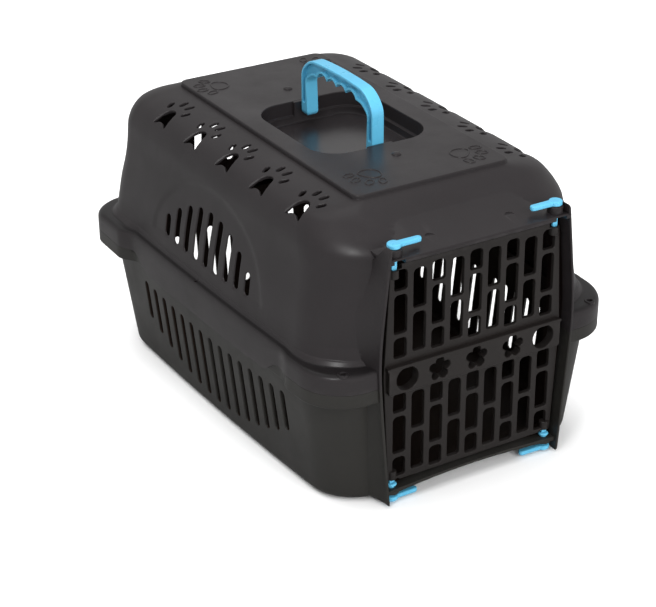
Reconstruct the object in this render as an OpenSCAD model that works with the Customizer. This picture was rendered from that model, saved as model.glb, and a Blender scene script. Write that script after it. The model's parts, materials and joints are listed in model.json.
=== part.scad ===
// Pet transport carrier: lower tray, upper shell, folding handle, grille door and four turn latches.
// Frame: +Z up, door facing -Y, origin on the ground at the centre of the footprint. Millimetres.

/* [Overall] */
// Length from the front lip to the back of the rim
body_l = 510; // [490:1:530]
// Height of the roof above the ground
body_h = 303; // [300:1:306]
// Height of the joint between tray and shell
seam_z = 138; // [136:1:140]
// Wall thickness of both mouldings
wall = 2.2; // [2:0.1:3]

/* [Plan] */
// Half width of the tray wall at its floor
floor_half_w = 146; // [142:1:150]
// Half width of the tray wall just under the rim
wall_half_w = 164; // [160:1:165]
// Half width of the rim at the front, before it swells
rim_half_w = 169; // [168:1:174]
// Half width of the shell wall just above the rim step
shell_half_w = 157; // [154:1:160]
// Extra half width at the back compared with the front
taper = 11; // [0:1:12]
// Outward bow of the long sides at mid length
bow = 5; // [0:1:8]
// Outward step of the four rim ears
ear = 4; // [0:0.5:6]
// Corner radius of the rim at the front
rim_corner_r = 46; // [36:1:52]
// Corner radius of the rim at the back
rim_back_r = 38; // [34:1:48]

/* [Roof] */
// Half width of the raised roof plate
roof_half_w = 91; // [86:1:96]
// Height by which the roof plate stands proud
plate_h = 4.5; // [3:0.5:6]
// Front edge of the roof plate
roof_front = -172; // [-176:1:-168]
// Back edge of the roof plate
roof_back = 205; // [196:1:208]

/* [Handle] */
// Height of the handle above its pivot
handle_h = 63; // [58:1:63]
// Distance between the outer faces of the two legs
handle_l = 144; // [138:1:144]
// Width of the handle across the carrier
handle_w = 14; // [12:0.5:14]
// Depth of each leg, seen from the side
leg_t = 11; // [10:1:13]
// Depth of the grip between two finger grooves
grip_t = 16; // [14:1:17]
// Radius of the stub axles
axle_r = 4; // [3:0.5:4.5]

/* [Door] */
// Height of the door's bottom edge
door_bottom = 21; // [20:1:23]
// Height of the door's top edge
door_top = 262; // [258:1:263]
// Thickness of the grille plate
door_t = 5; // [4:0.5:6]
// Distance between the centre lines of neighbouring slot columns
slot_pitch = 21.6; // [21:0.1:22]
// Width of a door slot
slot_w = 14.8; // [13:0.1:15.5]
// Half spacing of the latch pins
pin_x = 93.5; // [92:0.5:94]

/* [Latches] */
// Radius of the round part of each pin
pin_r = 3; // [2.8:0.1:3.2]
// Thickness of the flattened pin tip
tip_t = 3; // [2.6:0.1:3.2]
// Length of a lever arm from pin axis to end
arm_l = 30; // [26:1:32]
// Thickness of a lever
lever_t = 5; // [4:0.5:5]

/* [Vents] */
// Centre distance of the side slots
vent_pitch = 21; // [18:0.1:22]
// Width of the side slots in the shell
shell_vent_w = 9.5; // [8:0.5:12]
// Width of the side slots in the tray
tray_vent_w = 8; // [6:0.5:10]

/* [Hidden] */
$fn = 48;

charcoal = [0.13, 0.13, 0.14];
tray_grey = [0.17, 0.165, 0.165];
sky_blue = [0.25, 0.65, 0.85];

eps = 0.01;                      // overlap that joins touching solids
run_gap = 0.05;                  // radial running clearance of pins and axles
half_l = body_l / 2;
front_lip = -half_l;             // front face of the door frame
door_y = front_lip + 11.5;       // mid plane of the door and of the pins
rim_front = front_lip + 3;       // front face of the rim, behind the door frame's face
rim_back = half_l;               // back face of the rim
rim_bottom = seam_z - 15;        // lower edge of the tray rim
rim_top = seam_z + 20;           // upper edge of the shell rim
seam_gap = 0.2;                  // free height between tray and shell
skin = 2.6;                      // thickness of the rim skirts
floor_z = 1;                     // underside of the tray floor
roof_z = body_h - plate_h;       // shell height around the roof plate
lean = (wall_half_w - floor_half_w) / rim_bottom;
arc_steps = 6;
side_steps = 20;

// Frame of the door opening: half width of its outer face at the ground, at the widest point, at the top
frame_half_bottom = 104.5;
frame_half_mid = 117.5;
frame_half_top = 104.5;
frame_mid_z = 166;
frame_top_z = 281;
lip_t = 3;
lip_lap = 0.5;                   // depth by which the lips overlap the cut edge of the wall
lip_foot = 2.6;                  // lower end of the lips
sill_z = 11.5;                   // underside of the bottom sill at its ends
sill_t = 5;                      // thickness of the sill at its ends
sill_rise = 6;                   // rise of the sill's underside at the middle
sill_back = 4;                   // distance from the lips' face to the sill's face
lintel_z = 266.5;                // underside of the top sill
lintel_t = 6;
collar_r = 5.4;                  // ball collars of the latch pins
collar_h = 3.2;
collar_top_z = lintel_z + 3.4;   // upper side of the top collars
lever_top_z = lintel_z + 13;     // underside of the top levers
lever_low_z = 7.6;               // upper side of the bottom levers
frame_depth = 36;

// Handle recess
recess_y = 4.5;
recess_half_w = 67;
recess_half_l = 77;
recess_r = 33;
boss_t = 3.5;
boss_half_w = 15;
ledge_z = body_h - 15.8;
recess_floor_z = body_h - 24;
ledge_w = 3;
pivot_z = body_h - 8;

// Smooth step from 0 to 1 as t goes from 0 to 1
function smooth(t) = let(u = min(1, max(0, t))) u * u * (3 - 2 * u);

// Corner arc, from angle a0 to a1, of a rounded outline
function arc_points(cx, cy, r, a0, a1) =
    [for (i = [0:arc_steps]) let(a = a0 + (a1 - a0) * i / arc_steps) [cx + r * cos(a), cy + r * sin(a)]];

// Points between two corners of a long side
function side_points(x, y0, y1) = [for (i = [1:side_steps - 1]) [x, y0 + (y1 - y0) * i / side_steps]];

// Rounded rectangle with separate front and back corner radii, anticlockwise from the front right
function outline(w, front, back, rf, rb) = concat(
    arc_points(w - rf, front + rf, rf, -90, 0),
    side_points(w, front + rf, back - rb),
    arc_points(w - rb, back - rb, rb, 0, 90),
    arc_points(rb - w, back - rb, rb, 90, 180),
    side_points(-w, back - rb, front + rf),
    arc_points(rf - w, front + rf, rf, 180, 270));

// Extra half width at length y: taper, bow, the ears, which stand out further at the back, and a step that ends there
back_ear_factor = 2.2;
ear_start = 150;
ear_run = 22;
function swell(y, k_taper, k_ear, step = 0) =
    k_taper * (taper * (y + half_l) / body_l + bow * (1 - pow(y / half_l, 2)))
    + (k_ear * (y > 0 ? back_ear_factor : 1) + step) * smooth((abs(y) - ear_start) / ear_run);

// 1 on the middle of the long sides, 0 near the ends
function tab_zone(y) = 1 - smooth((abs(y) - 112) / 24);

// One level of a loft: [z, half width, front, back, front radius, back radius, swell factor, ear, drop, step]
function level_points(l) = [for (p = outline(l[1], l[2], l[3], l[4], l[5]))
    [p.x * (1 + swell(p.y, l[6], l[7], l[9]) / l[1]), p.y, l[0] - l[8] * tab_zone(p.y)]];

// Closed skin through a list of levels, ending in a flat cap at each end
module loft(levels) {
    rings = [for (l = levels) level_points(l)];
    n = len(rings[0]);
    m = len(levels);
    points = [for (ring = rings) for (p = ring) p];
    sides = [for (i = [0:m - 2]) for (j = [0:n - 1]) let(
        a = i * n + j,
        b = i * n + (j + 1) % n,
        c = b + n,
        d = a + n) each [[a, d, c], [a, c, b]]];
    first_cap = [for (j = [0:n - 1]) j];
    last_cap = [for (j = [n - 1:-1:0]) (m - 1) * n + j];
    polyhedron(points = points, faces = concat([first_cap], sides, [last_cap]), convexity = 12);
}

// Tray wall at height z, moved inwards by t; the floor bows more than the rim
wall_r = 44;
function tray_wall(z, t = 0) = let(h = min(z, rim_bottom))
    [z, floor_half_w + lean * h - t, front_lip + 22 - 0.04 * z + t, 224 + 0.11 * z - t,
     wall_r - t, wall_r - t, 1.4 - 0.4 * h / rim_bottom, 0, 0, 0];

// Rounded floor edge: level at height z, pulled in by p
function tray_foot(z, p, t = 0) = let(w = tray_wall(z, t + p))
    [w[0], w[1], w[2], w[3], wall_r - t, wall_r - t, w[6], 0, 0, 0];

// Tray rim: it steps in by the skirt's thickness along the middle, so that the skirt can pass outside it
function tray_rim(z, t) = let(step = skin + 0.4)
    [z, rim_half_w - step - t, rim_front + t, rim_back - t, rim_corner_r - t, rim_back_r - t, 1, ear, 0, step];

// Inner side of the tray rim, just outside the wall along the middle and a skirt's thickness in at the ears
function tray_rim_inner(z) = let(w = wall_half_w + 0.2)
    [z, w, rim_front + skin, rim_back - skin, rim_corner_r - skin, rim_back_r - skin,
     1, ear, 0, rim_half_w - skin - w];

// Shell rim: its skirt drops over the tray rim along the middle of the long sides
function shell_rim(z, t, drop) =
    [z, rim_half_w - t, rim_front + t, rim_back - t, rim_corner_r - t, rim_back_r - t, 1, ear, drop, 0];

// Outer shell profile from the rim step to the edge of the roof plate
shell_levels = [
    [seam_z + 23, shell_half_w + 3.5, -238, 245, 56, 46, 1, 1.5, 0, 0],
    [seam_z + 36, shell_half_w + 0.5, -237, 243, 60, 40, 0.95, 0, 0, 0],
    [228, shell_half_w - 7.5, -236, 238.5, 64, 42, 0.8, 0, 0, 0],
    [248, shell_half_w - 10, -236, 238, 68, 40, 0.7, 0, 0, 0],
    [262, shell_half_w - 10.8, -235, 238, 74, 38, 0.6, 0, 0, 0],
    [272, shell_half_w - 13.3, -228, 236.5, 72, 36, 0.55, 0, 0, 0],
    [281, shell_half_w - 17.7, -212, 233, 62, 33, 0.5, 0, 0, 0],
    [288, shell_half_w - 25, -197, 229, 46, 28, 0.43, 0, 0, 0],
    [294, shell_half_w - 40.5, -184, 221, 28, 22, 0.33, 0, 0, 0],
    [roof_z, roof_half_w, roof_front - 1, roof_back + 1, 10, 10, 0, 0, 0, 0],
    [body_h - 0.5, roof_half_w, roof_front, roof_back, 10, 10, 0, 0, 0, 0],
    [body_h, roof_half_w - 0.5, roof_front + 0.5, roof_back - 0.5, 9.5, 9.5, 0, 0, 0, 0]];

// Inner side of a shell level: moved inwards by a and down by b
function inset(l, a, b) = [l[0] - b, l[1] - a, l[2] + a, l[3] - a, l[4] - a / 2, l[5] - a / 2, l[6], l[7], 0, 0];

// Polygon of the door frame between heights z0 and z1, moved inwards by t
function frame_half(z) = z < frame_mid_z
    ? frame_half_bottom + (frame_half_mid - frame_half_bottom) * z / frame_mid_z
    : frame_half_mid + (frame_half_top - frame_half_mid) * (z - frame_mid_z) / (frame_top_z - frame_mid_z);
function frame_outline(z0, z1, t) = let(zm = min(max(frame_mid_z, z0), z1))
    [[-frame_half(z0) + t, z0], [frame_half(z0) - t, z0], [frame_half(zm) - t, zm],
     [frame_half(z1) - t, z1], [-frame_half(z1) + t, z1], [-frame_half(zm) + t, zm]];

// Stands a drawing made in X and Z up in the plane y and extrudes it towards the back
module stand(y, depth) {
    translate([0, y + depth, 0]) rotate([90, 0, 0]) linear_extrude(depth) children();
}

// Side lips of the door frame between two heights
module frame_lips(z0, z1) {
    stand(front_lip, frame_depth) difference() {
        polygon(frame_outline(z0, z1, 0));
        polygon(frame_outline(z0 - 1, z1 + 1, lip_t));
    }
}

// Bar that joins the lips
module frame_bar(z, t) {
    stand(front_lip, frame_depth) intersection() {
        polygon(frame_outline(0, frame_top_z, 0.5));
        translate([-150, z]) square([300, t]);
    }
}

// A slot with round ends, width w and height h, centred
module long_slot(w, h) {
    square([w, h - w], center = true);
    for (s = [-1, 1]) translate([0, s * (h - w) / 2]) circle(w / 2);
}

// A door slot: a rounder top than bottom
module door_slot(w, h) {
    r_top = 5;
    r_low = 2.5;
    translate([-w / 2, r_low - h / 2]) square([w, h - r_low - r_top]);
    translate([r_top - w / 2, -h / 2]) square([w - 2 * r_top, h]);
    translate([r_low - w / 2, -h / 2]) square([w - 2 * r_low, r_low + eps]);
    for (s = [-1, 1]) {
        translate([s * (w / 2 - r_top), h / 2 - r_top]) circle(r_top);
        translate([s * (w / 2 - r_low), r_low - h / 2]) circle(r_low);
    }
}

// ---- Lower tray ----
module tray_shell() {
    loft(concat(
        [tray_foot(floor_z, 6), tray_foot(4, 2.2), tray_foot(9, 0.5), tray_wall(18)],
        [tray_wall(rim_bottom), tray_wall(seam_z - wall - seam_gap)],
        [tray_rim_inner(seam_z - wall - seam_gap), tray_rim_inner(rim_bottom), tray_rim(rim_bottom, 0),
         tray_rim(seam_z - seam_gap, 0)],
        [tray_wall(seam_z - seam_gap, wall), tray_wall(18, wall), tray_foot(10, 0.5, wall),
         tray_foot(6.5, 2.2, wall), tray_foot(floor_z + wall, 6, wall)]));
}

// Pads under the four corners of the tray
module tray_feet() {
    for (sx = [-1, 1]) for (fy = [front_lip + 58, 184])
        translate([sx * 100, fy, 0]) cylinder(h = floor_z + 1, r = 26);
}

// Slots of the tray: the row's lower edge follows an arc, its upper edge nearly follows the rim
module tray_vents() {
    count = 15;
    row_y = -9;
    for (i = [0:count - 1]) {
        k = 2 * i / (count - 1) - 1;
        low = 19 + 39 * k * k;
        high = 98.5 + 6 * k * k;
        translate([0, row_y + k * 7 * (vent_pitch - 0.2), (low + high) / 2]) rotate([90, 0, 90])
            translate([0, 0, -220]) linear_extrude(440) long_slot(tray_vent_w, high - low);
    }
}

// Large disc whose rim passes height z at x = 0 and falls by the given rise at the ends of the sill
module arch_disc(z, rise) {
    half_span = 100;
    arch_r = (half_span * half_span + rise * rise) / (2 * rise);
    translate([0, z + rise - arch_r]) circle(arch_r, $fn = 360);
}

// Bar under the door, arched upwards and thinner in the middle
module sill() {
    stand(front_lip + sill_back, frame_depth - sill_back) difference() {
        intersection() {
            polygon(frame_outline(0, seam_z, 0.5));
            arch_disc(sill_z + sill_t, sill_rise - 2);
        }
        arch_disc(sill_z, sill_rise);
    }
}

// Slots in the back wall, from height low to high; the outer ones end lower by the given sag
module rear_vents(count, pitch, w, low, high, sag) {
    for (i = [0:count - 1]) {
        k = 2 * i / (count - 1) - 1;
        top = high - sag * k * k;
        stand(half_l - 60, 80) translate([k * (count - 1) / 2 * pitch, (low + top) / 2])
            long_slot(w, top - low);
    }
}

module lower_tray() {
    color(tray_grey) difference() {
        union() {
            difference() {
                union() {
                    tray_shell();
                    tray_feet();
                }
                stand(front_lip - 5, 60) polygon(frame_outline(sill_z + sill_rise + 0.8, seam_z + 30, lip_t - lip_lap));
                tray_vents();
                rear_vents(9, 22, tray_vent_w, 24, 104, 4);
            }
            frame_lips(lip_foot, seam_z - seam_gap);
            sill();
        }
        for (sx = [-1, 1]) translate([sx * pin_x, door_y, 0])
            cylinder(h = sill_z + sill_t + sill_rise, r = pin_r + 0.4 + run_gap);
    }
}

// ---- Upper shell ----
module shell_skin() {
    n = len(shell_levels);
    inner = concat(
        [inset(shell_levels[n - 1], 3, wall)],
        [inset(shell_levels[n - 3], 2, wall + 0.3)],
        [for (i = [n - 4:-1:4]) inset(shell_levels[i], 1.6, wall)],
        [for (i = [3:-1:0]) inset(shell_levels[i], wall, 0)]);
    loft(concat(
        inner,
        [shell_rim(rim_top - 0.5, skin, 0), shell_rim(seam_z, skin, 16), shell_rim(seam_z, 0, 16),
         shell_rim(rim_top - 1, 0, 0), shell_rim(rim_top, 1, 0)],
        shell_levels));
}

// Slots of the shell: level at the bottom, arched at the top
module shell_vents() {
    count = 9;
    row_y = 6;
    for (i = [0:count - 1]) {
        k = 2 * i / (count - 1) - 1;
        low = seam_z + 36.5 + 2.5 * k * k;
        high = seam_z + 95.5 - 32 * k * k;
        translate([0, row_y + k * 4 * (vent_pitch + 0.3), (low + high) / 2]) rotate([90, 0, 90])
            translate([0, 0, -220]) linear_extrude(440) long_slot(shell_vent_w, high - low);
    }
}

// One paw: a heel pad with a notched lower edge and four oval toes
module paw_drawing() {
    difference() {
        union() {
            translate([0, 4]) circle(8.5);
            polygon([[-8.4, 5], [8.4, 5], [12.5, -10], [0, -7], [-12.5, -10]]);
        }
        translate([0, -15]) circle(9);
    }
    for (s = [-1, 1]) {
        translate([s * 17.5, 16]) rotate(-s * 30) long_slot(5, 9.5);
        translate([s * 6.5, 26]) rotate(-s * 12) long_slot(5, 10);
    }
}

// Paws along both shoulders of the shell
module shoulder_paws() {
    count = 5;
    pitch = 70.5;
    row_y = 4.5;
    tilt = 46;
    for (s = [0, 1]) mirror([s, 0, 0]) for (i = [0:count - 1]) {
        y = row_y + (i - (count - 1) / 2) * pitch;
        translate([122.5 + swell(y, 1, 0), y, 278.5]) rotate([0, tilt, 0]) rotate(90)
            translate([0, 0, -16]) linear_extrude(32) paw_drawing();
    }
}

// Prism with rounded corners under the handle
module recess_prism(grow, z0, z1) {
    hw = recess_half_w + grow;
    hl = recess_half_l + grow;
    r = recess_r + grow;
    translate([0, recess_y, z0]) linear_extrude(z1 - z0) {
        square([2 * (hw - r), 2 * hl], center = true);
        square([2 * hw, 2 * (hl - r)], center = true);
        for (sx = [-1, 1]) for (sy = [-1, 1]) translate([sx * (hw - r), sy * (hl - r)]) circle(r);
    }
}

// Blocks at the ends of the recess that hold the handle's axles
module axle_blocks() {
    block_l = 8;
    for (s = [-1, 1]) translate([0, recess_y + s * (recess_half_l + block_l / 2), (ledge_z + body_h - 1) / 2])
        cube([2 * boss_half_w, block_l, body_h - ledge_z - 1], center = true);
}

// Flat pads on the end walls of the recess, beside the legs of the handle
module axle_pads() {
    for (s = [-1, 1]) translate([0, recess_y + s * (recess_half_l - boss_t / 2), (recess_floor_z + body_h) / 2])
        cube([2 * boss_half_w, boss_t + eps, body_h - recess_floor_z], center = true);
}

module shell_holes() {
    ear_hole_r = 3;
    side_hole_r = 2.2;
    for (s = [-1, 1]) {
        translate([s * 147, front_lip + 15, rim_top - 10]) cylinder(h = 20, r = ear_hole_r);
        translate([s * (rim_half_w + 5.5), 10, rim_top - 10]) cylinder(h = 20, r = side_hole_r);
    }
}

// Seats for the top latches in the lintel
module latch_seats() {
    seat_r = 8;
    seat_h = lever_top_z - lintel_z - seam_gap;
    for (s = [-1, 1]) translate([s * pin_x, door_y, lintel_z]) cylinder(h = seat_h, r = seat_r);
}

// Notches in the underside of the lintel for the collars of the top latches, open to the front
module collar_notches() {
    notch_r = collar_r + 0.8;
    notch_h = collar_top_z - lintel_z + 0.4;
    for (s = [-1, 1]) translate([s * pin_x, door_y, lintel_z - 1]) {
        cylinder(h = notch_h + 1, r = notch_r);
        translate([-notch_r, front_lip - door_y - 1, 0]) cube([2 * notch_r, door_y - front_lip + 1, notch_h + 1]);
    }
}

// Space above the lips, which fall away towards the back
module lip_slope() {
    translate([0, front_lip + 9, frame_top_z]) rotate([-48, 0, 0]) translate([-150, 0, 0]) cube([300, 80, 60]);
}

module upper_shell() {
    axle_depth = 3;
    color(charcoal) difference() {
        union() {
            difference() {
                union() {
                    shell_skin();
                    recess_prism(wall, recess_floor_z - wall, body_h - 1);
                    axle_blocks();
                }
                difference() {
                    union() {
                        recess_prism(0, ledge_z, body_h + 1);
                        recess_prism(-ledge_w, recess_floor_z, body_h);
                    }
                    axle_pads();
                }
                stand(front_lip - 5, 60) polygon(frame_outline(seam_z - 30, lintel_z, lip_t - lip_lap));
                shell_vents();
                rear_vents(10, 21, shell_vent_w, seam_z + 40, seam_z + 104, 22);
                shoulder_paws();
                shell_holes();
            }
            difference() {
                frame_lips(seam_z, frame_top_z);
                lip_slope();
            }
            frame_bar(lintel_z, lintel_t);
            latch_seats();
        }
        collar_notches();
        for (s = [-1, 1]) translate([s * pin_x, door_y, lintel_z - 1])
            cylinder(h = 40, r = pin_r + 0.4 + run_gap);
        translate([0, recess_y, pivot_z]) rotate([90, 0, 0])
            cylinder(h = 2 * (recess_half_l + axle_depth), r = axle_r + run_gap, center = true);
    }
}

// ---- Handle ----
// Side view of the handle, seen along X: half length l, height h, corner radius r, with a crowned top
module grip_drawing(l, h, r, foot) {
    crown = 4.5;
    crown_r = (pow(l - r, 2) + crown * crown) / (2 * crown);
    intersection() {
        union() {
            translate([-l, foot]) square([2 * l, h - r - foot]);
            translate([r - l, h - r - 1]) square([2 * (l - r), r + 1]);
            for (s = [-1, 1]) translate([s * (l - r), h - r]) circle(r);
        }
        translate([0, h - crown_r]) circle(crown_r, $fn = 180);
    }
}

// Finger grooves under the grip, grown by g
module finger_grooves(g) {
    groove_pitch = 19;
    groove_r = 11;
    for (i = [-1.5:1:1.5]) translate([i * groove_pitch, handle_h - grip_t - 6]) circle(groove_r + g);
}

module handle_drawing() {
    half = handle_l / 2;
    difference() {
        union() {
            grip_drawing(half, handle_h, 19, 0);
            for (s = [-1, 1]) translate([s * (half - leg_t / 2 - 0.75), 0]) circle(leg_t / 2 + 0.75);
        }
        grip_drawing(half - leg_t, handle_h - grip_t, 10, -2 * leg_t);
        finger_grooves(0);
    }
}

// Pockets that leave an I-beam section along the handle
module handle_pockets() {
    half = handle_l / 2;
    flange = 2.5;
    difference() {
        grip_drawing(half - flange, handle_h - flange, 16.5, 7);
        grip_drawing(half - leg_t + flange - eps, handle_h - grip_t + flange, 12, -2 * leg_t);
        finger_grooves(flange);
    }
}

module handle() {
    web = 4;
    stub_l = boss_t + 2;
    color(sky_blue) translate([0, recess_y, pivot_z]) {
        difference() {
            rotate([90, 0, 90]) linear_extrude(handle_w, center = true) handle_drawing();
            for (s = [-1, 1]) translate([s * (handle_w + web) / 2, 0, 0])
                rotate([90, 0, 90]) linear_extrude(handle_w, center = true) handle_pockets();
        }
        for (s = [-1, 1]) translate([0, s * (handle_l / 2 + stub_l / 2 - 1), 0]) rotate([90, 0, 0])
            cylinder(h = stub_l + 2, r = axle_r, center = true);
    }
}

// ---- Door ----
band_z0 = 125;
band_z1 = 155;
band_out = 5.5;

function door_half(z) = z < (door_top + door_bottom) / 2
    ? 99.5 + 5.5 * (z - door_bottom) / ((door_top - door_bottom) / 2)
    : 105 - 6.5 * (z - (door_top + door_bottom) / 2) / ((door_top - door_bottom) / 2);

module door_outline() {
    zm = (door_top + door_bottom) / 2;
    polygon([[-door_half(door_bottom), door_bottom], [door_half(door_bottom), door_bottom],
             [door_half(zm), zm], [door_half(door_top), door_top], [-door_half(door_top), door_top],
             [-door_half(zm), zm]]);
}

// Slots of one half of the grille: odd columns hold short, long, short; even columns hold two long ones
module grille_slots(z_mid) {
    long_h = 41.5;
    short_h = 21.5;
    step = 36.3;
    for (c = [-4:4]) translate([c * slot_pitch, z_mid]) {
        if (c % 2 == 0) {
            door_slot(slot_w, long_h);
            for (s = [-1, 1]) translate([0, s * step]) door_slot(slot_w, short_h);
        } else {
            for (s = [-1, 1]) translate([0, s * 23.3]) door_slot(slot_w, long_h);
        }
    }
}

// Window of the middle band: five round lobes around a centre
module flower_window() {
    circle(8);
    for (i = [0:4]) rotate(90 + i * 72) translate([8, 0]) circle(4.6);
}

module band_windows() {
    band_mid = (band_z0 + band_z1) / 2;
    for (s = [-1, 1]) translate([s * 81, band_mid]) circle(12.6);
    for (s = [-1:1]) translate([s * 43.5, band_mid]) flower_window();
}

// Space around a pin at one corner of the door
module corner_space(z0, h) {
    for (s = [-1, 1]) translate([s * pin_x, door_y, z0]) cylinder(h = h, r = 8);
}

module door() {
    knuckle_r = 6;
    knuckle_h = 12;
    bore_h = 11;
    notch_h = 5;
    bore_r = pin_r + run_gap;
    mouth_w = 3.8;
    y0 = door_y - door_t / 2;
    color(charcoal) difference() {
        union() {
            difference() {
                union() {
                    stand(y0, door_t) door_outline();
                    stand(y0 - band_out, band_out + 1) translate([-102, band_z0])
                        square([204, band_z1 - band_z0]);
                }
                stand(y0 - 10, 30) {
                    grille_slots(band_z1 + 53.5);
                    grille_slots(band_z0 - 49.5);
                    band_windows();
                }
                corner_space(door_bottom - 1, notch_h + 1);
                corner_space(door_top - notch_h, notch_h + 1);
            }
            for (s = [-1, 1]) for (z = [door_bottom + notch_h, door_top - notch_h - knuckle_h])
                translate([s * pin_x, door_y, z]) cylinder(h = knuckle_h, r = knuckle_r);
        }
        for (s = [-1, 1]) for (z = [door_bottom + notch_h - 1, door_top - notch_h - bore_h + 1])
            translate([s * pin_x, door_y, z]) cylinder(h = bore_h, r = bore_r);
        for (z = [door_bottom + notch_h - 1, door_top - notch_h - bore_h + 1])
            translate([-pin_x - mouth_w / 2, door_y, z]) cube([mouth_w, 12, bore_h]);
    }
}

// ---- Latches ----
// Lever, stem, collar and flattened tip, drawn for the top left: arm towards +X, tip pointing down
module latch_shape(stem_h, tip_h) {
    head_r = 7;
    arm_w = 8;
    cylinder(h = lever_t, r = head_r);
    translate([0, -arm_w / 2, 0]) cube([arm_l - arm_w / 2, arm_w, lever_t]);
    translate([arm_l - arm_w / 2, 0, 0]) cylinder(h = lever_t, r = arm_w / 2);
    translate([0, 0, -stem_h]) cylinder(h = stem_h + 1, r = pin_r + 0.4);
    translate([0, 0, -stem_h - collar_h]) cylinder(h = collar_h, r = collar_r);
    translate([0, 0, -stem_h - collar_h - tip_h]) intersection() {
        cylinder(h = tip_h + 1, r = pin_r);
        translate([-pin_r, -tip_t / 2, 0]) cube([2 * pin_r, tip_t, tip_h + 1]);
    }
}

module top_latch() {
    translate([0, door_y, lever_top_z]) latch_shape(lever_top_z - collar_top_z, 16);
}

module bottom_latch() {
    translate([0, door_y, lever_low_z]) mirror([0, 0, 1]) latch_shape(11, 12);
}

module latch_top_left() {
    color(sky_blue) translate([-pin_x, 0, 0]) top_latch();
}

module latch_top_right() {
    color(sky_blue) translate([pin_x, 0, 0]) mirror([1, 0, 0]) top_latch();
}

module latch_bottom_left() {
    color(sky_blue) translate([-pin_x, 0, 0]) bottom_latch();
}

module latch_bottom_right() {
    color(sky_blue) translate([pin_x, 0, 0]) mirror([1, 0, 0]) bottom_latch();
}

lower_tray();
upper_shell();
handle();
door();
latch_top_left();
latch_top_right();
latch_bottom_left();
latch_bottom_right();
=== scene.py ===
"""Looks of a pet transport carrier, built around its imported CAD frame.

The scene is in metres. The shape code below works in millimetres and turns them into metres
when a mesh is made. +Z is up, the door faces -Y and the origin is on the ground.
"""

import json
import math

import bmesh
import bpy
import numpy as np
from mathutils import Matrix, Vector


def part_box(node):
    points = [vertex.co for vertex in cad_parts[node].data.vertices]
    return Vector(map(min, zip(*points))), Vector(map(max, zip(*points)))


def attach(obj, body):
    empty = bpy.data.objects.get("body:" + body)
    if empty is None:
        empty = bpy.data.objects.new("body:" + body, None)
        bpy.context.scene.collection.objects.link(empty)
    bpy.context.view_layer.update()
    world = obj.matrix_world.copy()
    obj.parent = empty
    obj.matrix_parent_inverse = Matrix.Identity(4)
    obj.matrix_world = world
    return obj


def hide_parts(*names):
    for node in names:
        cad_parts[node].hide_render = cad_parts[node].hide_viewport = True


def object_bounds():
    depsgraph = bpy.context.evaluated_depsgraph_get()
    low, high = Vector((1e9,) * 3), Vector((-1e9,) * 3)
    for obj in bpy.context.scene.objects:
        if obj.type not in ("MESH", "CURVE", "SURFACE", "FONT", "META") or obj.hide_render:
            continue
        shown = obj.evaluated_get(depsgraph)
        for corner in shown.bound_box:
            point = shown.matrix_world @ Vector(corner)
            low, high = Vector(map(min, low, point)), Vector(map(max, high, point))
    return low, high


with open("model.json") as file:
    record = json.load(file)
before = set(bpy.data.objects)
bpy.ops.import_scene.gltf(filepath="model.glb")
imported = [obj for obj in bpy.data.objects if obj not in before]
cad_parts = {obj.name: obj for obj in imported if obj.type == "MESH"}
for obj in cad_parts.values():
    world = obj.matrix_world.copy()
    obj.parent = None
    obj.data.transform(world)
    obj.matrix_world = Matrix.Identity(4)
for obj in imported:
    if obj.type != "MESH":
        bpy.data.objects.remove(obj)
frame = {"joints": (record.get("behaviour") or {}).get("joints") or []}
cad_low, cad_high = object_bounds()

MM = 0.001


# ---------------------------------------------------------------- sizes read from the frame
def box_mm(node):
    low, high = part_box(node)
    return np.array(low) / MM, np.array(high) / MM


def joint_mm(name):
    for joint in frame["joints"]:
        if joint["name"] == name:
            return np.array(joint["pos_m"]) / MM
    raise KeyError(name)


tray_high = box_mm("lower_tray")[1]
shell_low, shell_high = box_mm("upper_shell")
door_low, door_high = box_mm("door")
handle_low, handle_high = box_mm("handle")
top_lever_high = box_mm("latch_top_left")[1]
low_lever_low = box_mm("latch_bottom_left")[0]
door_hinge = joint_mm("door_swing")
handle_pivot = joint_mm("handle_swing")

HALF_L = shell_high[1]
BODY_H = shell_high[2]
SEAM_GAP = 0.2
SEAM_Z = tray_high[2] + SEAM_GAP
WALL = 2.2
SKIN = 2.6
SKIRT_DROP = SEAM_Z - shell_low[2]
PIN_X = abs(door_hinge[0])
DOOR_Y = door_hinge[1]
RIM_FRONT = 3 - HALF_L
RIM_BACK = HALF_L
RIM_BOTTOM = SEAM_Z - 15
RIM_TOP = SEAM_Z + 20

FLOOR_HALF_W = 146
WALL_HALF_W = 164
RIM_HALF_W = 169
SHELL_HALF_W = 157
TAPER = 11
BOW = 5
EAR = 4
BACK_EAR_FACTOR = 2.2
EAR_START = 150
EAR_RUN = 22
FRONT_EAR_LATE = 12
TAB_END = 116
TAB_RUN = 34

ROOF_HALF_W = 91
PLATE_H = 4.5
ROOF_FRONT = -172
ROOF_BACK = 205
RECESS_Y = handle_pivot[1]
RECESS_HALF_W = 67
RECESS_HALF_L = 77
RECESS_R = 33
LEDGE_DEPTH = 15.8
RECESS_DEPTH = 24
LEDGE_W = 3.2

LINTEL_Z = BODY_H - 36.5
SILL_Z = 11.5
SILL_T = 5
SILL_RISE = 6
SILL_BACK = 4
LIP_FOOT = 2.6
LIP_T = 3
COLLAR_R = 5.4
COLLAR_H = 3.2
COLLAR_TOP_Z = LINTEL_Z + 3.4
LEVER_T = 5
LIP_TOP = BODY_H - 20
# Mould holes on the front ears and the blind hole in each side of the rim
EAR_HOLE = (147, 15 - HALF_L)
SIDE_HOLE = (174.5, 10)
# Half-moon detents above the lintel
DETENT = (46.3, 21 - HALF_L)


# ---------------------------------------------------------------- small maths
def smooth(t):
    u = np.clip(t, 0, 1)
    return u * u * (3 - 2 * u)


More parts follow.
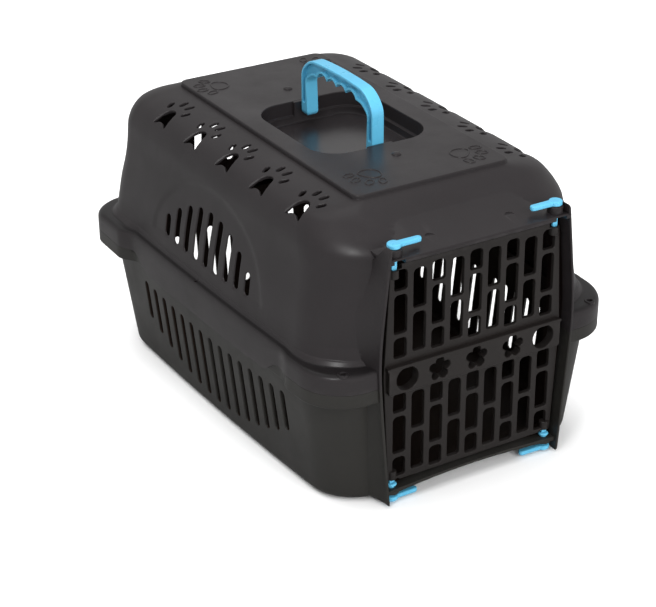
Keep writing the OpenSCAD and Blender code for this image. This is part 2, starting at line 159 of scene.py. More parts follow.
def pchip(x, y, xs):
    """Monotone cubic through the rows of y at x, read at xs."""
    h = np.diff(x)[:, None]
    d = np.diff(y, axis=0) / h
    slope = np.zeros_like(y)
    w1 = 2 * h[1:] + h[:-1]
    w2 = h[1:] + 2 * h[:-1]
    with np.errstate(divide="ignore", invalid="ignore"):
        mean = (w1 + w2) / (w1 / d[:-1] + w2 / d[1:])
    slope[1:-1] = np.where(d[:-1] * d[1:] > 0, mean, 0)
    slope[0], slope[-1] = d[0], d[-1]
    k = np.clip(np.searchsorted(x, xs) - 1, 0, len(x) - 2)
    step = np.diff(x)[k][:, None]
    t = (xs - x[k])[:, None] / step
    return ((2 * t**3 - 3 * t**2 + 1) * y[k] + (t**3 - 2 * t**2 + t) * step * slope[k]
            + (3 * t**2 - 2 * t**3) * y[k + 1] + (t**3 - t**2) * step * slope[k + 1])


def arc(cx, cy, r, a0, a1, n=12):
    """Points on an arc, angles in degrees, both ends included."""
    a = np.radians(np.linspace(a0, a1, n + 1))
    return np.stack([cx + r * np.cos(a), cy + r * np.sin(a)], 1)


def joined(*parts):
    """One outline from several stretches, without repeated points."""
    points = np.concatenate([np.atleast_2d(np.array(p, float)) for p in parts])
    keep = np.linalg.norm(points - np.roll(points, 1, 0), axis=1) > 1e-4
    return points[keep]


def rounded_rect(w, h, r_top, r_low=None, n=6):
    """Outline of a centred rectangle with rounded corners, anticlockwise."""
    low = r_top if r_low is None else r_low
    return joined(
        arc(w / 2 - low, low - h / 2, low, -90, 0, n),
        arc(w / 2 - r_top, h / 2 - r_top, r_top, 0, 90, n),
        arc(r_top - w / 2, h / 2 - r_top, r_top, 90, 180, n),
        arc(low - w / 2, low - h / 2, low, 180, 270, n))


def rect(x0, y0, x1, y1):
    return [[x0, y0], [x1, y0], [x1, y1], [x0, y1]]


def stadium(w, h, n=8):
    """Upright slot with round ends, anticlockwise."""
    r = w / 2
    side = np.linspace(r - h / 2, h / 2 - r, 7)[1:-1]
    right = np.stack([np.full(5, r), side], 1)
    left = np.stack([np.full(5, -r), side[::-1]], 1)
    return joined(arc(0, r - h / 2, r, -180, 0, n), right, arc(0, h / 2 - r, r, 0, 180, n), left)


def normals_2d(points):
    """Outward normals of an anticlockwise outline."""
    along = np.roll(points, -1, 0) - np.roll(points, 1, 0)
    along /= np.linalg.norm(along, axis=1)[:, None]
    return np.stack([along[:, 1], -along[:, 0]], 1)


# ---------------------------------------------------------------- solids as (points, faces)
def stack(rings):
    """Closed solid through rings of equal length, with a flat cap at each end."""
    rings = [np.asarray(r, float) for r in rings]
    n = len(rings[0])
    faces = []
    j = np.arange(n)
    k = (j + 1) % n
    for i in range(len(rings) - 1):
        a, b = i * n + j, i * n + k
        faces += np.stack([a, b, b + n, a + n], 1).tolist()
    faces.append(list(range(n - 1, -1, -1)))
    faces.append(list(range((len(rings) - 1) * n, len(rings) * n)))
    return np.concatenate(rings), faces


def flipped(solid):
    points, faces = solid
    return points, [f[::-1] for f in faces]


def outward(solid):
    """The solid with its faces turned so that its volume is positive."""
    points, faces = solid
    volume = 0.0
    for f in faces:
        p = points[f]
        volume += np.einsum("ij,ij->", np.cross(p[1:-1], p[2:]), np.broadcast_to(p[0], (len(f) - 2, 3)))
    return solid if volume > 0 else flipped(solid)


def mirrored(solid):
    points, faces = solid
    return points * [-1, 1, 1], [f[::-1] for f in faces]


def merged(*solids):
    points, faces, start = [], [], 0
    for p, f in solids:
        points.append(p)
        faces += [[i + start for i in face] for face in f]
        start += len(p)
    return np.concatenate(points), faces


def both_sides(solids):
    return merged(*[s for solid in solids for s in (solid, mirrored(solid))])


def prism(outline, axis, low, high):
    """Outline drawn out along X, Y or Z (0, 1 or 2)."""
    outline = np.array(outline, float)
    return outward(stack([np.insert(outline, axis, end, axis=1) for end in (low, high)]))


def revolve(profile, centre, n=32, axis=2):
    """Solid of revolution about an axis along Y (1) or Z (2); profile lists radius and place along it."""
    angle = np.arange(n) * 2 * math.pi / n
    rings = []
    for r, along in profile:
        circle = np.stack([centre[0] + r * np.cos(angle), centre[1] + r * np.sin(angle)], 1)
        rings.append(np.insert(circle, axis, along, axis=1))
    return outward(stack(rings))


def at_pins(profile, n=32):
    """The same solid of revolution on both pin axes."""
    return [revolve(profile, (s * PIN_X, DOOR_Y), n) for s in (-1, 1)]


def sunk(outline, place, rings):
    """Solid whose rings grow from one outline; place(u, v, depth) puts them in space."""
    normal = normals_2d(outline)
    out = []
    for depth, grow in rings:
        p = outline + normal * grow
        out.append(place(p[:, 0], p[:, 1], depth))
    return outward(stack(out))


# Depth and growth of the rings that round the mouth of an opening
MOUTH = [(-0.9, 2.4), (0.2, 0.55), (0.6, 0.15), (1.2, 0.0)]


# ---------------------------------------------------------------- Blender meshes
def linked(name, data):
    obj = bpy.data.objects.new(name, data)
    bpy.context.scene.collection.objects.link(obj)
    return obj


def new_object(name, solid):
    points, faces = solid
    mesh = bpy.data.meshes.new(name)
    mesh.from_pydata((np.asarray(points) * MM).tolist(), [], faces)
    mesh.update()
    return linked(name, mesh)


def evaluated_mesh(obj):
    bpy.context.view_layer.update()
    graph = bpy.context.evaluated_depsgraph_get()
    return bpy.data.meshes.new_from_object(obj.evaluated_get(graph))


def take_mesh(obj, mesh):
    old = obj.data
    obj.modifiers.clear()
    obj.data = mesh
    mesh.name = obj.name
    bpy.data.meshes.remove(old)


def remove(obj):
    data = obj.data
    bpy.data.objects.remove(obj)
    if isinstance(data, bpy.types.Mesh):
        bpy.data.meshes.remove(data)
    else:
        bpy.data.curves.remove(data)


def combine(obj, other, operation):
    """Boolean of obj with a solid or with another object, which is used up."""
    tool = other if isinstance(other, bpy.types.Object) else new_object("tool", other)
    mod = obj.modifiers.new("combine", "BOOLEAN")
    mod.operation = operation
    mod.solver = "MANIFOLD"
    mod.object = tool
    result = evaluated_mesh(obj)
    if len(result.polygons) == 0:
        raise RuntimeError(f"{operation} left nothing of {obj.name}")
    take_mesh(obj, result)
    remove(tool)
    return obj


def add(obj, other):
    return combine(obj, other, "UNION")


def cut(obj, other):
    return combine(obj, other, "DIFFERENCE")


def keep(obj, other):
    return combine(obj, other, "INTERSECT")


def sheet(outlines, thickness, edge, frame_of, name="sheet"):
    """Plate with rounded edges from closed outlines, inner ones being holes.

    frame_of(points) turns drawing coordinates with depth, centred on 0, into space in millimetres."""
    curve = bpy.data.curves.new(name, "CURVE")
    curve.dimensions = "2D"
    curve.fill_mode = "BOTH"
    curve.extrude = thickness / 2 - edge
    curve.bevel_depth = edge
    curve.bevel_resolution = 2
    curve.offset = -edge
    for outline in outlines:
        spline = curve.splines.new("POLY")
        spline.points.add(len(outline) - 1)
        flat = np.column_stack([outline, np.zeros(len(outline)), np.ones(len(outline))])
        spline.points.foreach_set("co", flat.ravel())
        spline.use_cyclic_u = True
    obj = linked(name, curve)
    mesh = evaluated_mesh(obj)
    remove(obj)
    points = np.empty(len(mesh.vertices) * 3)
    mesh.vertices.foreach_get("co", points)
    moved = frame_of(points.reshape(-1, 3)) * MM
    mesh.vertices.foreach_set("co", moved.ravel())
    work = bmesh.new()
    work.from_mesh(mesh)
    bmesh.ops.remove_doubles(work, verts=work.verts, dist=1e-6)
    bmesh.ops.recalc_face_normals(work, faces=work.faces)
    work.to_mesh(mesh)
    work.free()
    return linked(name, mesh)


def rounded_box(low, high, r, name="box"):
    """Box with rounded edges."""
    low, high = np.array(low, float), np.array(high, float)
    work = bmesh.new()
    bmesh.ops.create_cube(work, size=1)
    centre, size = (low + high) / 2, high - low
    for v in work.verts:
        v.co = Vector((centre + size * np.array(v.co)) * MM)
    bmesh.ops.bevel(work, geom=work.edges[:], offset=r * MM, segments=3, profile=0.5, affect="EDGES")
    mesh = bpy.data.meshes.new(name)
    work.to_mesh(mesh)
    work.free()
    return linked(name, mesh)


SHARP_ANGLE = 38


def shade(obj):
    """Smooth shading with sharp edges above an angle, flat areas kept flat."""
    mesh = obj.data
    mesh.polygons.foreach_set("use_smooth", np.ones(len(mesh.polygons), bool))
    mesh.set_sharp_from_angle(angle=math.radians(SHARP_ANGLE))
    mod = obj.modifiers.new("normals", "WEIGHTED_NORMAL")
    mod.keep_sharp = True
    take_mesh(obj, evaluated_mesh(obj))
    return obj


# ---------------------------------------------------------------- the plan of the two big mouldings
# A level is an array: height, half width, front, back, front and back corner radius,
# taper factor, ear, drop of the skirt, step that ends at the ears
Z, W, FRONT, BACK, R_FRONT, R_BACK, K_TAPER, K_EAR, DROP, STEP = range(10)


def level(z, w, front, back, r_front, r_back, k_taper=1, k_ear=0, drop=0, step=0):
    return np.array([z, w, front, back, r_front, r_back, k_taper, k_ear, drop, step], float)


def side_swell(y):
    return TAPER * (y + HALF_L) / (2 * HALF_L) + BOW * (1 - (y / HALF_L) ** 2)


def swell(y, k_taper, k_ear, step=0):
    start = EAR_START + np.where(y < 0, FRONT_EAR_LATE, 0)
    ears = smooth((np.abs(y) - start) / EAR_RUN)
    return k_taper * side_swell(y) + (k_ear * np.where(y > 0, BACK_EAR_FACTOR, 1) + step) * ears


def ring(lv, corner_n=16, side_n=104, end_n=26):
    """Outline of one level, as points in space."""
    w, rf, rb = lv[W], lv[R_FRONT], lv[R_BACK]

    def run(a, b, n):
        return np.linspace(a, b, n + 1)[1:-1]

    side = np.stack([np.full(side_n - 1, w), run(lv[FRONT] + rf, lv[BACK] - rb, side_n)], 1)
    back = np.stack([run(w - rb, rb - w, end_n), np.full(end_n - 1, lv[BACK])], 1)
    front = np.stack([run(rf - w, w - rf, end_n), np.full(end_n - 1, lv[FRONT])], 1)
    p = np.concatenate([
        arc(w - rf, lv[FRONT] + rf, rf, -90, 0, corner_n), side,
        arc(w - rb, lv[BACK] - rb, rb, 0, 90, corner_n), back,
        arc(rb - w, lv[BACK] - rb, rb, 90, 180, corner_n), side[::-1] * [-1, 1],
        arc(rf - w, lv[FRONT] + rf, rf, 180, 270, corner_n), front])
    x = p[:, 0] * (1 + swell(p[:, 1], lv[K_TAPER], lv[K_EAR], lv[STEP]) / w)
    late = np.where(p[:, 1] < 0, FRONT_EAR_LATE, 0)
    tab = 1 - smooth((np.abs(p[:, 1]) - TAB_END - late) / TAB_RUN)
    return np.stack([x, p[:, 1], lv[Z] - lv[DROP] * tab], 1)


def length_between(a, b):
    return math.hypot(b[Z] - a[Z], b[W] - a[W], (b[FRONT] - a[FRONT]) * 0.5)


def softened(levels, cuts, n=4):
    """Rounds the profile at chosen levels: cuts maps an index to the length taken off on each side."""
    out = []
    for i, lv in enumerate(levels):
        c = cuts.get(i, 0)
        if not c:
            out.append(lv)
            continue
        before, after = levels[i - 1], levels[i + 1]
        a = lv + (before - lv) * min(c / length_between(lv, before), 0.49)
        b = lv + (after - lv) * min(c / length_between(lv, after), 0.49)
        for t in np.linspace(0, 1, n + 1):
            out.append(a * (1 - t) ** 2 + lv * 2 * t * (1 - t) + b * t**2)
    return out


def divided(levels, longest=5):
    """Adds levels so that no band is much longer than longest."""
    out = [levels[0]]
    for a, b in zip(levels, levels[1:]):
        n = max(1, round(length_between(a, b) / longest))
        out += [a + (b - a) * k / n for k in range(1, n + 1)]
    return out


def splined(levels, step=3):
    """Smooth run of levels through the given ones."""
    rows = np.array(levels)
    along = np.concatenate([[0], np.cumsum([length_between(a, b) for a, b in zip(levels, levels[1:])])])
    n = max(2, round(along[-1] / step))
    return list(pchip(along, rows, np.linspace(0, along[-1], n + 1)))


def loft(levels):
    return stack([ring(lv) for lv in levels])


# ---------------------------------------------------------------- shell profile
SHELL_FOOT = level(SEAM_Z + 36, SHELL_HALF_W + 0.5, -237, 243, 60, 40, 0.95)
SHELL_WALL = [
    SHELL_FOOT,
    level(SEAM_Z + 62, SHELL_HALF_W - 2.6, -236.5, 241, 62, 41, 0.88),
    level(SEAM_Z + 90, SHELL_HALF_W - 7.5, -236, 238.5, 64, 42, 0.8),
    level(SEAM_Z + 110, SHELL_HALF_W - 10, -236, 238, 68, 40, 0.7),
    level(BODY_H - 41, SHELL_HALF_W - 10.8, -235, 238, 74, 38, 0.6),
    level(BODY_H - 31, SHELL_HALF_W - 13.3, -228, 236.5, 72, 36, 0.55),
    level(BODY_H - 22, SHELL_HALF_W - 17.7, -212, 233, 62, 33, 0.5),
    level(BODY_H - 15, SHELL_HALF_W - 25, -197, 229, 46, 28, 0.43),
    level(BODY_H - 9, SHELL_HALF_W - 40.5, -184, 221, 28, 22, 0.33),
    level(BODY_H - PLATE_H, ROOF_HALF_W, ROOF_FRONT - 1, ROOF_BACK + 1, 10, 10, 0)]

# Field around the side slots of the shell, set slightly deeper than the wall
FIELD_Y = 6
FIELD_Z = SEAM_Z + 32
FIELD_HALF_Y = 119
FIELD_HALF_Z = 88
FIELD_DEPTH = 1.0


def field_depth(y, z):
    reach = np.sqrt(((y - FIELD_Y) / FIELD_HALF_Y) ** 2 + ((z - FIELD_Z) / FIELD_HALF_Z) ** 2)
    return FIELD_DEPTH * (1 - smooth((reach - 0.95) / 0.05)) * (z > SHELL_FOOT[Z] + 1)


def shell_rim(z, t, drop):
    return level(z, RIM_HALF_W - t, RIM_FRONT + t, RIM_BACK - t, 46 - t, 38 - t, 1, EAR, drop)


def inset(lv, a, b):
    """Inner side of a level: inwards by a, down by b."""
    out = lv.copy()
    out[[Z, W, FRONT, BACK, R_FRONT, R_BACK]] += [-b, -a, a, -a, -a / 2, -a / 2]
    return out


def shell_inner():
    """Inner side of the shell, from under the roof down to the top of the rim."""
    roof = level(BODY_H - WALL, ROOF_HALF_W - 3, ROOF_FRONT + 3, ROOF_BACK - 3, 9, 9, 0)
    shoulder = [inset(lv, 1.7, WALL) for lv in reversed(SHELL_WALL[4:])]
    wall = [inset(lv, WALL, 0) for lv in reversed(SHELL_WALL[:4])]
    shelf = [level(RIM_TOP + 3, SHELL_HALF_W - 0.4, -237 + WALL, 243 - WALL, 56, 42, 1, 0.8),
             level(RIM_TOP - 1.9, SHELL_HALF_W + 1.4, -238.5 + WALL, 245.5 - WALL, 54, 44, 1, 1.6),
             shell_rim(RIM_TOP - 2.6, SKIN + 3.2, 0),
             shell_rim(RIM_TOP - 7.5, SKIN, 0)]
    return [roof] + shoulder + wall + shelf


def shell_outer():
    """Outer side of the shell, from the foot of the skirt to the roof plate."""
    shelf = [
        shell_rim(SEAM_Z, 0, SKIRT_DROP),
        shell_rim(RIM_TOP, 0, 0),
        level(RIM_TOP + 0.6, SHELL_HALF_W + 4.5, -240, 247.5, 54, 46, 1, 2),
        level(RIM_TOP + 5, SHELL_HALF_W + 3.0, -238.4, 245, 56, 45, 1, 0.8),
        level(RIM_TOP + 5.8, SHELL_HALF_W + 2.3, -237.9, 244.5, 57, 44, 0.98, 0.6),
        SHELL_FOOT]
    soft = softened(shelf, {1: 7.5, 2: 1.2, 3: 0.6, 4: 0.6}, 6)
    wall = splined(SHELL_WALL)
    plate = [
        wall[-1],
        level(BODY_H - PLATE_H + 0.4, ROOF_HALF_W + 0.1, ROOF_FRONT - 0.4, ROOF_BACK + 0.4, 10, 10, 0),
        level(BODY_H, ROOF_HALF_W - 0.4, ROOF_FRONT + 0.4, ROOF_BACK - 0.4, 10, 10, 0),
        level(BODY_H, ROOF_HALF_W - 6, ROOF_FRONT + 6, ROOF_BACK - 6, 7, 7, 0)]
    return divided(soft[:-1], 4) + wall[:-1] + softened(plate, {1: 0.6, 2: 1.6})


def shell_body():
    outer = shell_outer()
    inner = divided(shell_inner(), 8) + [shell_rim(SEAM_Z, SKIN, SKIRT_DROP)]
    rings = [ring(lv) for lv in inner]
    for lv in outer:
        p = ring(lv)
        on_side = np.abs(p[:, 0]) > lv[W] * 0.97
        p[:, 0] -= np.sign(p[:, 0]) * field_depth(p[:, 1], p[:, 2]) * on_side
        rings.append(p)
    return stack(rings)


_profile = np.array(splined(SHELL_WALL, 1.5))


def shell_side_x(y, z):
    """Outer half width of the shell wall."""
    w = np.interp(z, _profile[:, Z], _profile[:, W])
    k = np.interp(z, _profile[:, Z], _profile[:, K_TAPER])
    return w + k * side_swell(y) - field_depth(y, z)


def through_side(outline, y0, z0, side_x):
    """Cutter for an opening in a side wall, its mouth rounded along the wall's own curve."""
    def place(u, v, depth):
        y, z = y0 + u, z0 + v
        return np.stack([side_x(y, z) - depth, y, z], 1)
    return sunk(outline, place, MOUTH + [(14, 0)])


def side_slots(count, pitch, w, y_mid, low, high, side_x):
    """Slots through both side walls; low and high hold the middle slot's end and its change outwards."""
    out = []
    for i in range(count):
        k = 2 * i / (count - 1) - 1
        z0, z1 = (end + change * k * k for end, change in (low, high))
        y = y_mid + k * (count - 1) / 2 * pitch
        out.append(through_side(stadium(w, z1 - z0), y, (z0 + z1) / 2, side_x))
    return both_sides(out)


def along_shoulder(y0, z0):
    """place() for drawings laid on the shoulder: u runs along the carrier and v up the slope."""
    s = np.concatenate([[0], np.cumsum(np.hypot(np.diff(_profile[:, Z]), np.diff(_profile[:, W])))])
    s0 = np.interp(z0, _profile[:, Z], s)

    def at(u, v):
        z = np.interp(s0 + v, s, _profile[:, Z])
        w = np.interp(s0 + v, s, _profile[:, W])
        k = np.interp(s0 + v, s, _profile[:, K_TAPER])
        return w + k * side_swell(y0 + u), z

    def place(u, v, depth):
        x, z = at(u, v)
        x2, z2 = at(u, v + 0.5)
        x1, z1 = at(u, v - 0.5)
        length = np.hypot(x2 - x1, z2 - z1)
        nx, nz = (z2 - z1) / length, (x1 - x2) / length
        return np.stack([x - depth * nx, y0 + u, z - depth * nz], 1)
    return place


def paw_heel():
    """Heel pad: a round top, two pointed lower tips and a hollow between them."""
    tip_x, tip_z = 12.5, -10
    notch = arc(0, -17.2, 11.2, 128, 52, 10)
    return joined([tip_x, tip_z], arc(0, 4, 8.5, 8, 172, 18), [-tip_x, tip_z],
                  [-tip_x + 2.2, tip_z + 0.2], notch, [tip_x - 2.2, tip_z + 0.2])


def turned(outline, cx, cy, degrees):
    a = math.radians(degrees)
    turn = np.array([[math.cos(a), math.sin(a)], [-math.sin(a), math.cos(a)]])
    return outline @ turn + [cx, cy]


def paw_outlines():
    toes = [turned(stadium(5.4, 10), s * x, y, -s * a)
            for s in (-1, 1) for x, y, a in ((17.5, 16, 30), (6.6, 25.5, 12))]
    return [paw_heel()] + toes


def shoulder_paws():
    count = 5
    pitch = 70.5
    rings = [(-6, 1.6), (-0.9, 1.6), (0.2, 0.45), (0.6, 0.1), (1.2, 0.0), (9, 0)]
    out = []
    for i in range(count):
        place = along_shoulder(4.5 + (i - (count - 1) / 2) * pitch, BODY_H - 15)
        out += [sunk(outline, place, rings) for outline in paw_outlines()]
    return both_sides(out)


# ---------------------------------------------------------------- roof
def recess_place(u, v, depth):
    return np.stack([u, RECESS_Y + v, np.full(len(u), BODY_H - depth)], 1)


def recess_outline(grow=0.0):
    return rounded_rect(2 * (RECESS_HALF_W + grow), 2 * (RECESS_HALF_L + grow), RECESS_R + grow, n=16)


def recess_cut():
    ledge = [(LEDGE_DEPTH - 0.6, 0), (LEDGE_DEPTH, -0.5), (LEDGE_DEPTH + 0.15, -LEDGE_W + 0.7),
             (LEDGE_DEPTH + 0.6, -LEDGE_W)]
    floor = [(RECESS_DEPTH - 3, -LEDGE_W - 0.3), (RECESS_DEPTH - 0.9, -LEDGE_W - 1.2),
             (RECESS_DEPTH, -LEDGE_W - 3.5)]
    return sunk(recess_outline(), recess_place, MOUTH + ledge + floor)


def recess_tub():
    rings = [(1, 0), (RECESS_DEPTH, 0), (RECESS_DEPTH + WALL, -3)]
    return sunk(recess_outline(WALL), recess_place, rings)


def ridge(outline, half_width, height, z):
    """Raised line along an outline on a level face: its solid and the one taken out of its middle."""
    def place(u, v, depth):
        return np.stack([u, v, np.full(len(u), z - depth)], 1)
    hw = half_width
    outer = [(0.8, hw + 0.1), (0.0, hw), (-height * 0.7, hw * 0.72), (-height, hw * 0.3),
             (-height, hw * 0.1)]
    inner = [(-height - 0.6, -hw * 0.1), (-height, -hw * 0.3), (-height * 0.7, -hw * 0.72),
             (0.0, -hw), (0.02, -hw - 0.05)]
    return sunk(outline, place, outer), sunk(outline, place, inner)


def roof_paw(x, y, degrees):
    """Outlined paw on the roof plate: a pear-shaped heel and four toes, as outlines."""
    t = np.linspace(0, 2 * math.pi, 28, endpoint=False)
    heel = np.stack([11.5 * np.cos(t) * (1 - 0.22 * np.sin(t)), 9.5 * np.sin(t) + 2.2 * np.cos(2 * t)], 1)
    toes = [(-18, 11, 26), (-7.2, 19.5, 9), (7.2, 19.5, -9), (18, 11, -26)]
    outlines = [heel]
    for tx, ty, a in toes:
        oval = np.stack([3.9 * np.cos(t[::2]), 6.2 * np.sin(t[::2])], 1)
        outlines.append(turned(oval, tx, ty, a))
    return [turned(o, 0, 0, degrees) + [x, y] for o in outlines]


def roof_details(shell):
    outer, inner = [], []
    for x, y, degrees in ((-61, 166, 78), (61, 168, -58), (-50, -131, 128), (57, -134, -134)):
        for outline in roof_paw(x, y, degrees):
            a, b = ridge(outline, 1.0, 0.8, BODY_H)
            outer.append(a)
            inner.append(b)
    raised = new_object("raised", merged(*outer))
    cut(raised, merged(*inner))
    add(shell, raised)
    for y in (-102, 118):
        add(shell, revolve([(5.2, BODY_H - 1), (5.2, BODY_H), (4.9, BODY_H + 0.7), (3.8, BODY_H + 1.5),
                            (2.0, BODY_H + 2.0), (0.4, BODY_H + 2.1)], (0, y)))


def axle_mounts(shell):
    """Flat pads on the end walls of the recess."""
    for s in (-1, 1):
        y_wall = RECESS_Y + s * (RECESS_HALF_L + 1)
        y_face = RECESS_Y + s * (RECESS_HALF_L - 3.5)
        add(shell, rounded_box((-15, min(y_wall, y_face), BODY_H - RECESS_DEPTH - 1),
                               (15, max(y_wall, y_face), BODY_H - 0.2), 1.1))


# ---------------------------------------------------------------- door frame
FRAME_MID_Z = 166
FRAME_TOP = BODY_H - 22
FLARE_LEN = 32
FLARE_OUT = 18.5
FLARE_BARE = 20


def frame_half(z):
    """Half width of the door frame's outer face; a soft bend joins its two straight runs."""
    bottom, middle, top = 104.5, 117.5, 104.5
    low = bottom + (middle - bottom) * z / FRAME_MID_Z
    high = middle + (top - middle) * (z - FRAME_MID_Z) / (FRAME_TOP - FRAME_MID_Z)
    sharp = 0.35
    return -np.log(np.exp(-sharp * low) + np.exp(-sharp * high)) / sharp


def frame_ring(y, grow, z0, z1, r, n=72, fades=(0, 0)):
    """Outline of the frame in the plane y; the growth fades at its ends."""
    turn = np.linspace(0, math.pi / 2, 7)[:-1]
    z = np.concatenate([z0 + r * (1 - np.cos(turn)), np.linspace(z0 + r, z1 - r, n),
                        z1 - r * (1 - np.cos(turn[::-1]))])
    pull = np.concatenate([r * (1 - np.sin(turn)), np.zeros(n), r * (1 - np.sin(turn[::-1]))])
    share = np.ones(len(z))
    if fades[0]:
        share *= np.sqrt(1 - (1 - np.clip((z - z0) / fades[0], 0, 1)) ** 2)
    if fades[1]:
        share *= smooth((z1 - FLARE_BARE - z) / fades[1])
    x = frame_half(z) + grow * share - pull
    right = np.stack([x, np.full(len(z), y), z], 1)
    return np.concatenate([right, right[::-1] * [-1, 1, 1]])


def flare(y):
    """Growth of the frame's outer face towards the wall behind it."""
    t = np.clip((y + HALF_L - 2) / FLARE_LEN, 0, 1)
    return FLARE_OUT * (0.25 * t + 0.75 * t * t)


def collar(z0, z1, r, fades=(0, 0)):
    """Frame standing proud of the front wall, its sides sweeping out into the wall."""
    y0 = -HALF_L
    rings = [(y0, -1.3), (y0 + 0.25, -0.6), (y0 + 0.7, -0.2), (y0 + 1.3, 0)]
    rings += [(y, flare(y)) for y in np.linspace(y0 + 3, y0 + 2 + FLARE_LEN, 12)]
    rings += [(y0 + 3 + FLARE_LEN, FLARE_OUT * 0.75), (y0 + 4 + FLARE_LEN, 0), (y0 + 42, 0)]
    return outward(stack([frame_ring(y, g, z0, z1, r, fades=fades if g > 0 else (0, 0))
                          for y, g in rings]))


def tunnel(z0, z1):
    """Space inside the frame, with a rounded mouth."""
    y0 = -HALF_L
    r = 1.0
    rings = [(y0 - 2, 1.6), (y0 + 0.2, 0.5), (y0 + 0.6, 0.15), (y0 + 1.2, 0), (y0 + 60, 0)]
    return outward(stack([frame_ring(y, g - LIP_T, z0 - g, z1 + g, r) for y, g in rings]))


def lip_slope():
    """Space above the lips, which fall away towards the back."""
    y, z, run, fall = 9 - HALF_L, LIP_TOP, 90, math.radians(48)
    section = [[y, z + 20], [y, z], [y + run * math.cos(fall), z - run * math.sin(fall)],
               [y + run * math.cos(fall), z + 20]]
    return prism(section, 0, -160, 160)


def pin_holes(z0, z1):
    r = 3.45
    return merged(*at_pins([(r, z0), (r, z1)], 24))


def collar_notches():
    """Hollows under the lintel for the ball collars of the top latches, open to the front."""
    r, z0, z1 = COLLAR_R + 0.8, LINTEL_Z - 1, LINTEL_Z + 3.8
    turn = arc(0, 0, r, 0, 180, 16)
    outline = joined(turn, [-r, -30], [r, -30])
    return merged(*[prism(outline + [s * PIN_X, DOOR_Y], 2, z0, z1) for s in (-1, 1)])


def apron(half):
    """Wedge that carries the front slope of the shell down to the edge of the lintel."""
    rings = []
    for x in np.linspace(-half, half, 45):
        fall = smooth((abs(x) - 62) / 45)
        z = LINTEL_Z + np.array([1.5, 4.0, 5.0, 10.5 - 7 * fall, 18.6 - 12 * fall, 0, 1.5])
        y = np.array([0.5, 0.6, 1.6, 27, 52, 52, 20]) - HALF_L
        rings.append(np.stack([np.full(len(y), x), y, z], 1))
    return outward(stack(rings))


def shell_front(shell):
    """Collar, lintel and latch seats of the shell."""
    z_low = SEAM_Z - 20
    front = new_object("front", collar(z_low, LIP_TOP, 6.5, fades=(0, 60)))
    cut(front, prism(rect(-200, z_low - 5, 200, SEAM_Z), 1, -HALF_L - 5, -HALF_L + 60))
    cut(shell, tunnel(SEAM_Z - 40, LINTEL_Z))
    cut(front, tunnel(SEAM_Z - 40, LIP_TOP + 40))
    cut(front, lip_slope())
    add(shell, front)
    half = float(frame_half(LINTEL_Z)) - 0.6
    add(shell, rounded_box((-half, -HALF_L, LINTEL_Z), (half, -HALF_L + 30, LINTEL_Z + 4), 1.2, "bar"))
    add(shell, apron(half))
    z_top = top_lever_high[2] - LEVER_T - SEAM_GAP
    for seat in at_pins([(8, LINTEL_Z + 1), (8, z_top - 0.8), (7.2, z_top), (0.5, z_top)]):
        add(shell, seat)
    cut(shell, collar_notches())
    detent = revolve([(5.0, LINTEL_Z + 9.0), (5.4, LINTEL_Z + 9.4), (5.4, LINTEL_Z + 30)], DETENT)
    cut(shell, both_sides([detent]))
    cut(shell, pin_holes(LINTEL_Z - 5, LINTEL_Z + 36))


def build_shell():
    shell = new_object("upper_shell_moulding", shell_body())
    add(shell, recess_tub())
    cut(shell, recess_cut())
    cut(shell, side_slots(9, 21.3, 9.5, FIELD_Y, (SEAM_Z + 36.5, 2.5), (SEAM_Z + 95.5, -32), shell_side_x))
    cut(shell, rear_slots(10, 21, 9.5, SEAM_Z + 40, SEAM_Z + 104, 22))
    cut(shell, shoulder_paws())
    axle_mounts(shell)
    roof_details(shell)
    shell_front(shell)
    bore = [(4.05, RECESS_Y - RECESS_HALF_L - 3), (4.05, RECESS_Y + RECESS_HALF_L + 3)]
    cut(shell, revolve(bore, (0, handle_pivot[2]), axis=1))
    ear = [(5.5, RIM_TOP - 2), (5.5, RIM_TOP + 0.6), (4.9, RIM_TOP + 1.1), (0.5, RIM_TOP + 1.1)]
    add(shell, merged(*[revolve(ear, (s * EAR_HOLE[0], EAR_HOLE[1])) for s in (-1, 1)]))
    holes = [revolve([(3, RIM_TOP - 10), (3, RIM_TOP + 0.6), (4, RIM_TOP + 2)], EAR_HOLE),
             revolve([(2.1, RIM_TOP - 1.5), (2.1, RIM_TOP + 0.1), (3.4, RIM_TOP + 2)], SIDE_HOLE)]
    cut(shell, both_sides(holes))
    return shell


# ---------------------------------------------------------------- tray
WALL_R = 44
LEAN = (WALL_HALF_W - FLOOR_HALF_W) / RIM_BOTTOM


def tray_wall(z, t=0.0, pull=0.0):
    h = min(z, RIM_BOTTOM)
    return level(z, FLOOR_HALF_W + LEAN * h - t - pull, 22 - HALF_L - 0.04 * z + t + pull,
                 224 + 0.11 * z - t - pull, WALL_R - t, WALL_R - t, 1.4 - 0.4 * h / RIM_BOTTOM)


def tray_rim(z, t):
    step = SKIN + 0.4
    return level(z, RIM_HALF_W - step - t, RIM_FRONT + t, RIM_BACK - t, 46 - t, 38 - t, 1, EAR, 0, step)


def tray_rim_inner(z):
    w = WALL_HALF_W + 0.2
    return level(z, w, RIM_FRONT + SKIN, RIM_BACK - SKIN, 46 - SKIN, 38 - SKIN, 1, EAR, 0,
                 RIM_HALF_W - SKIN - w)


def tray_foot_levels(t):
    """Rounded edge between floor and wall."""
    r = 9 - t
    return [tray_wall(1 + t + r * (1 - math.cos(a)), t, r * (1 - math.sin(a)))
            for a in np.radians(np.linspace(0, 90, 8))]


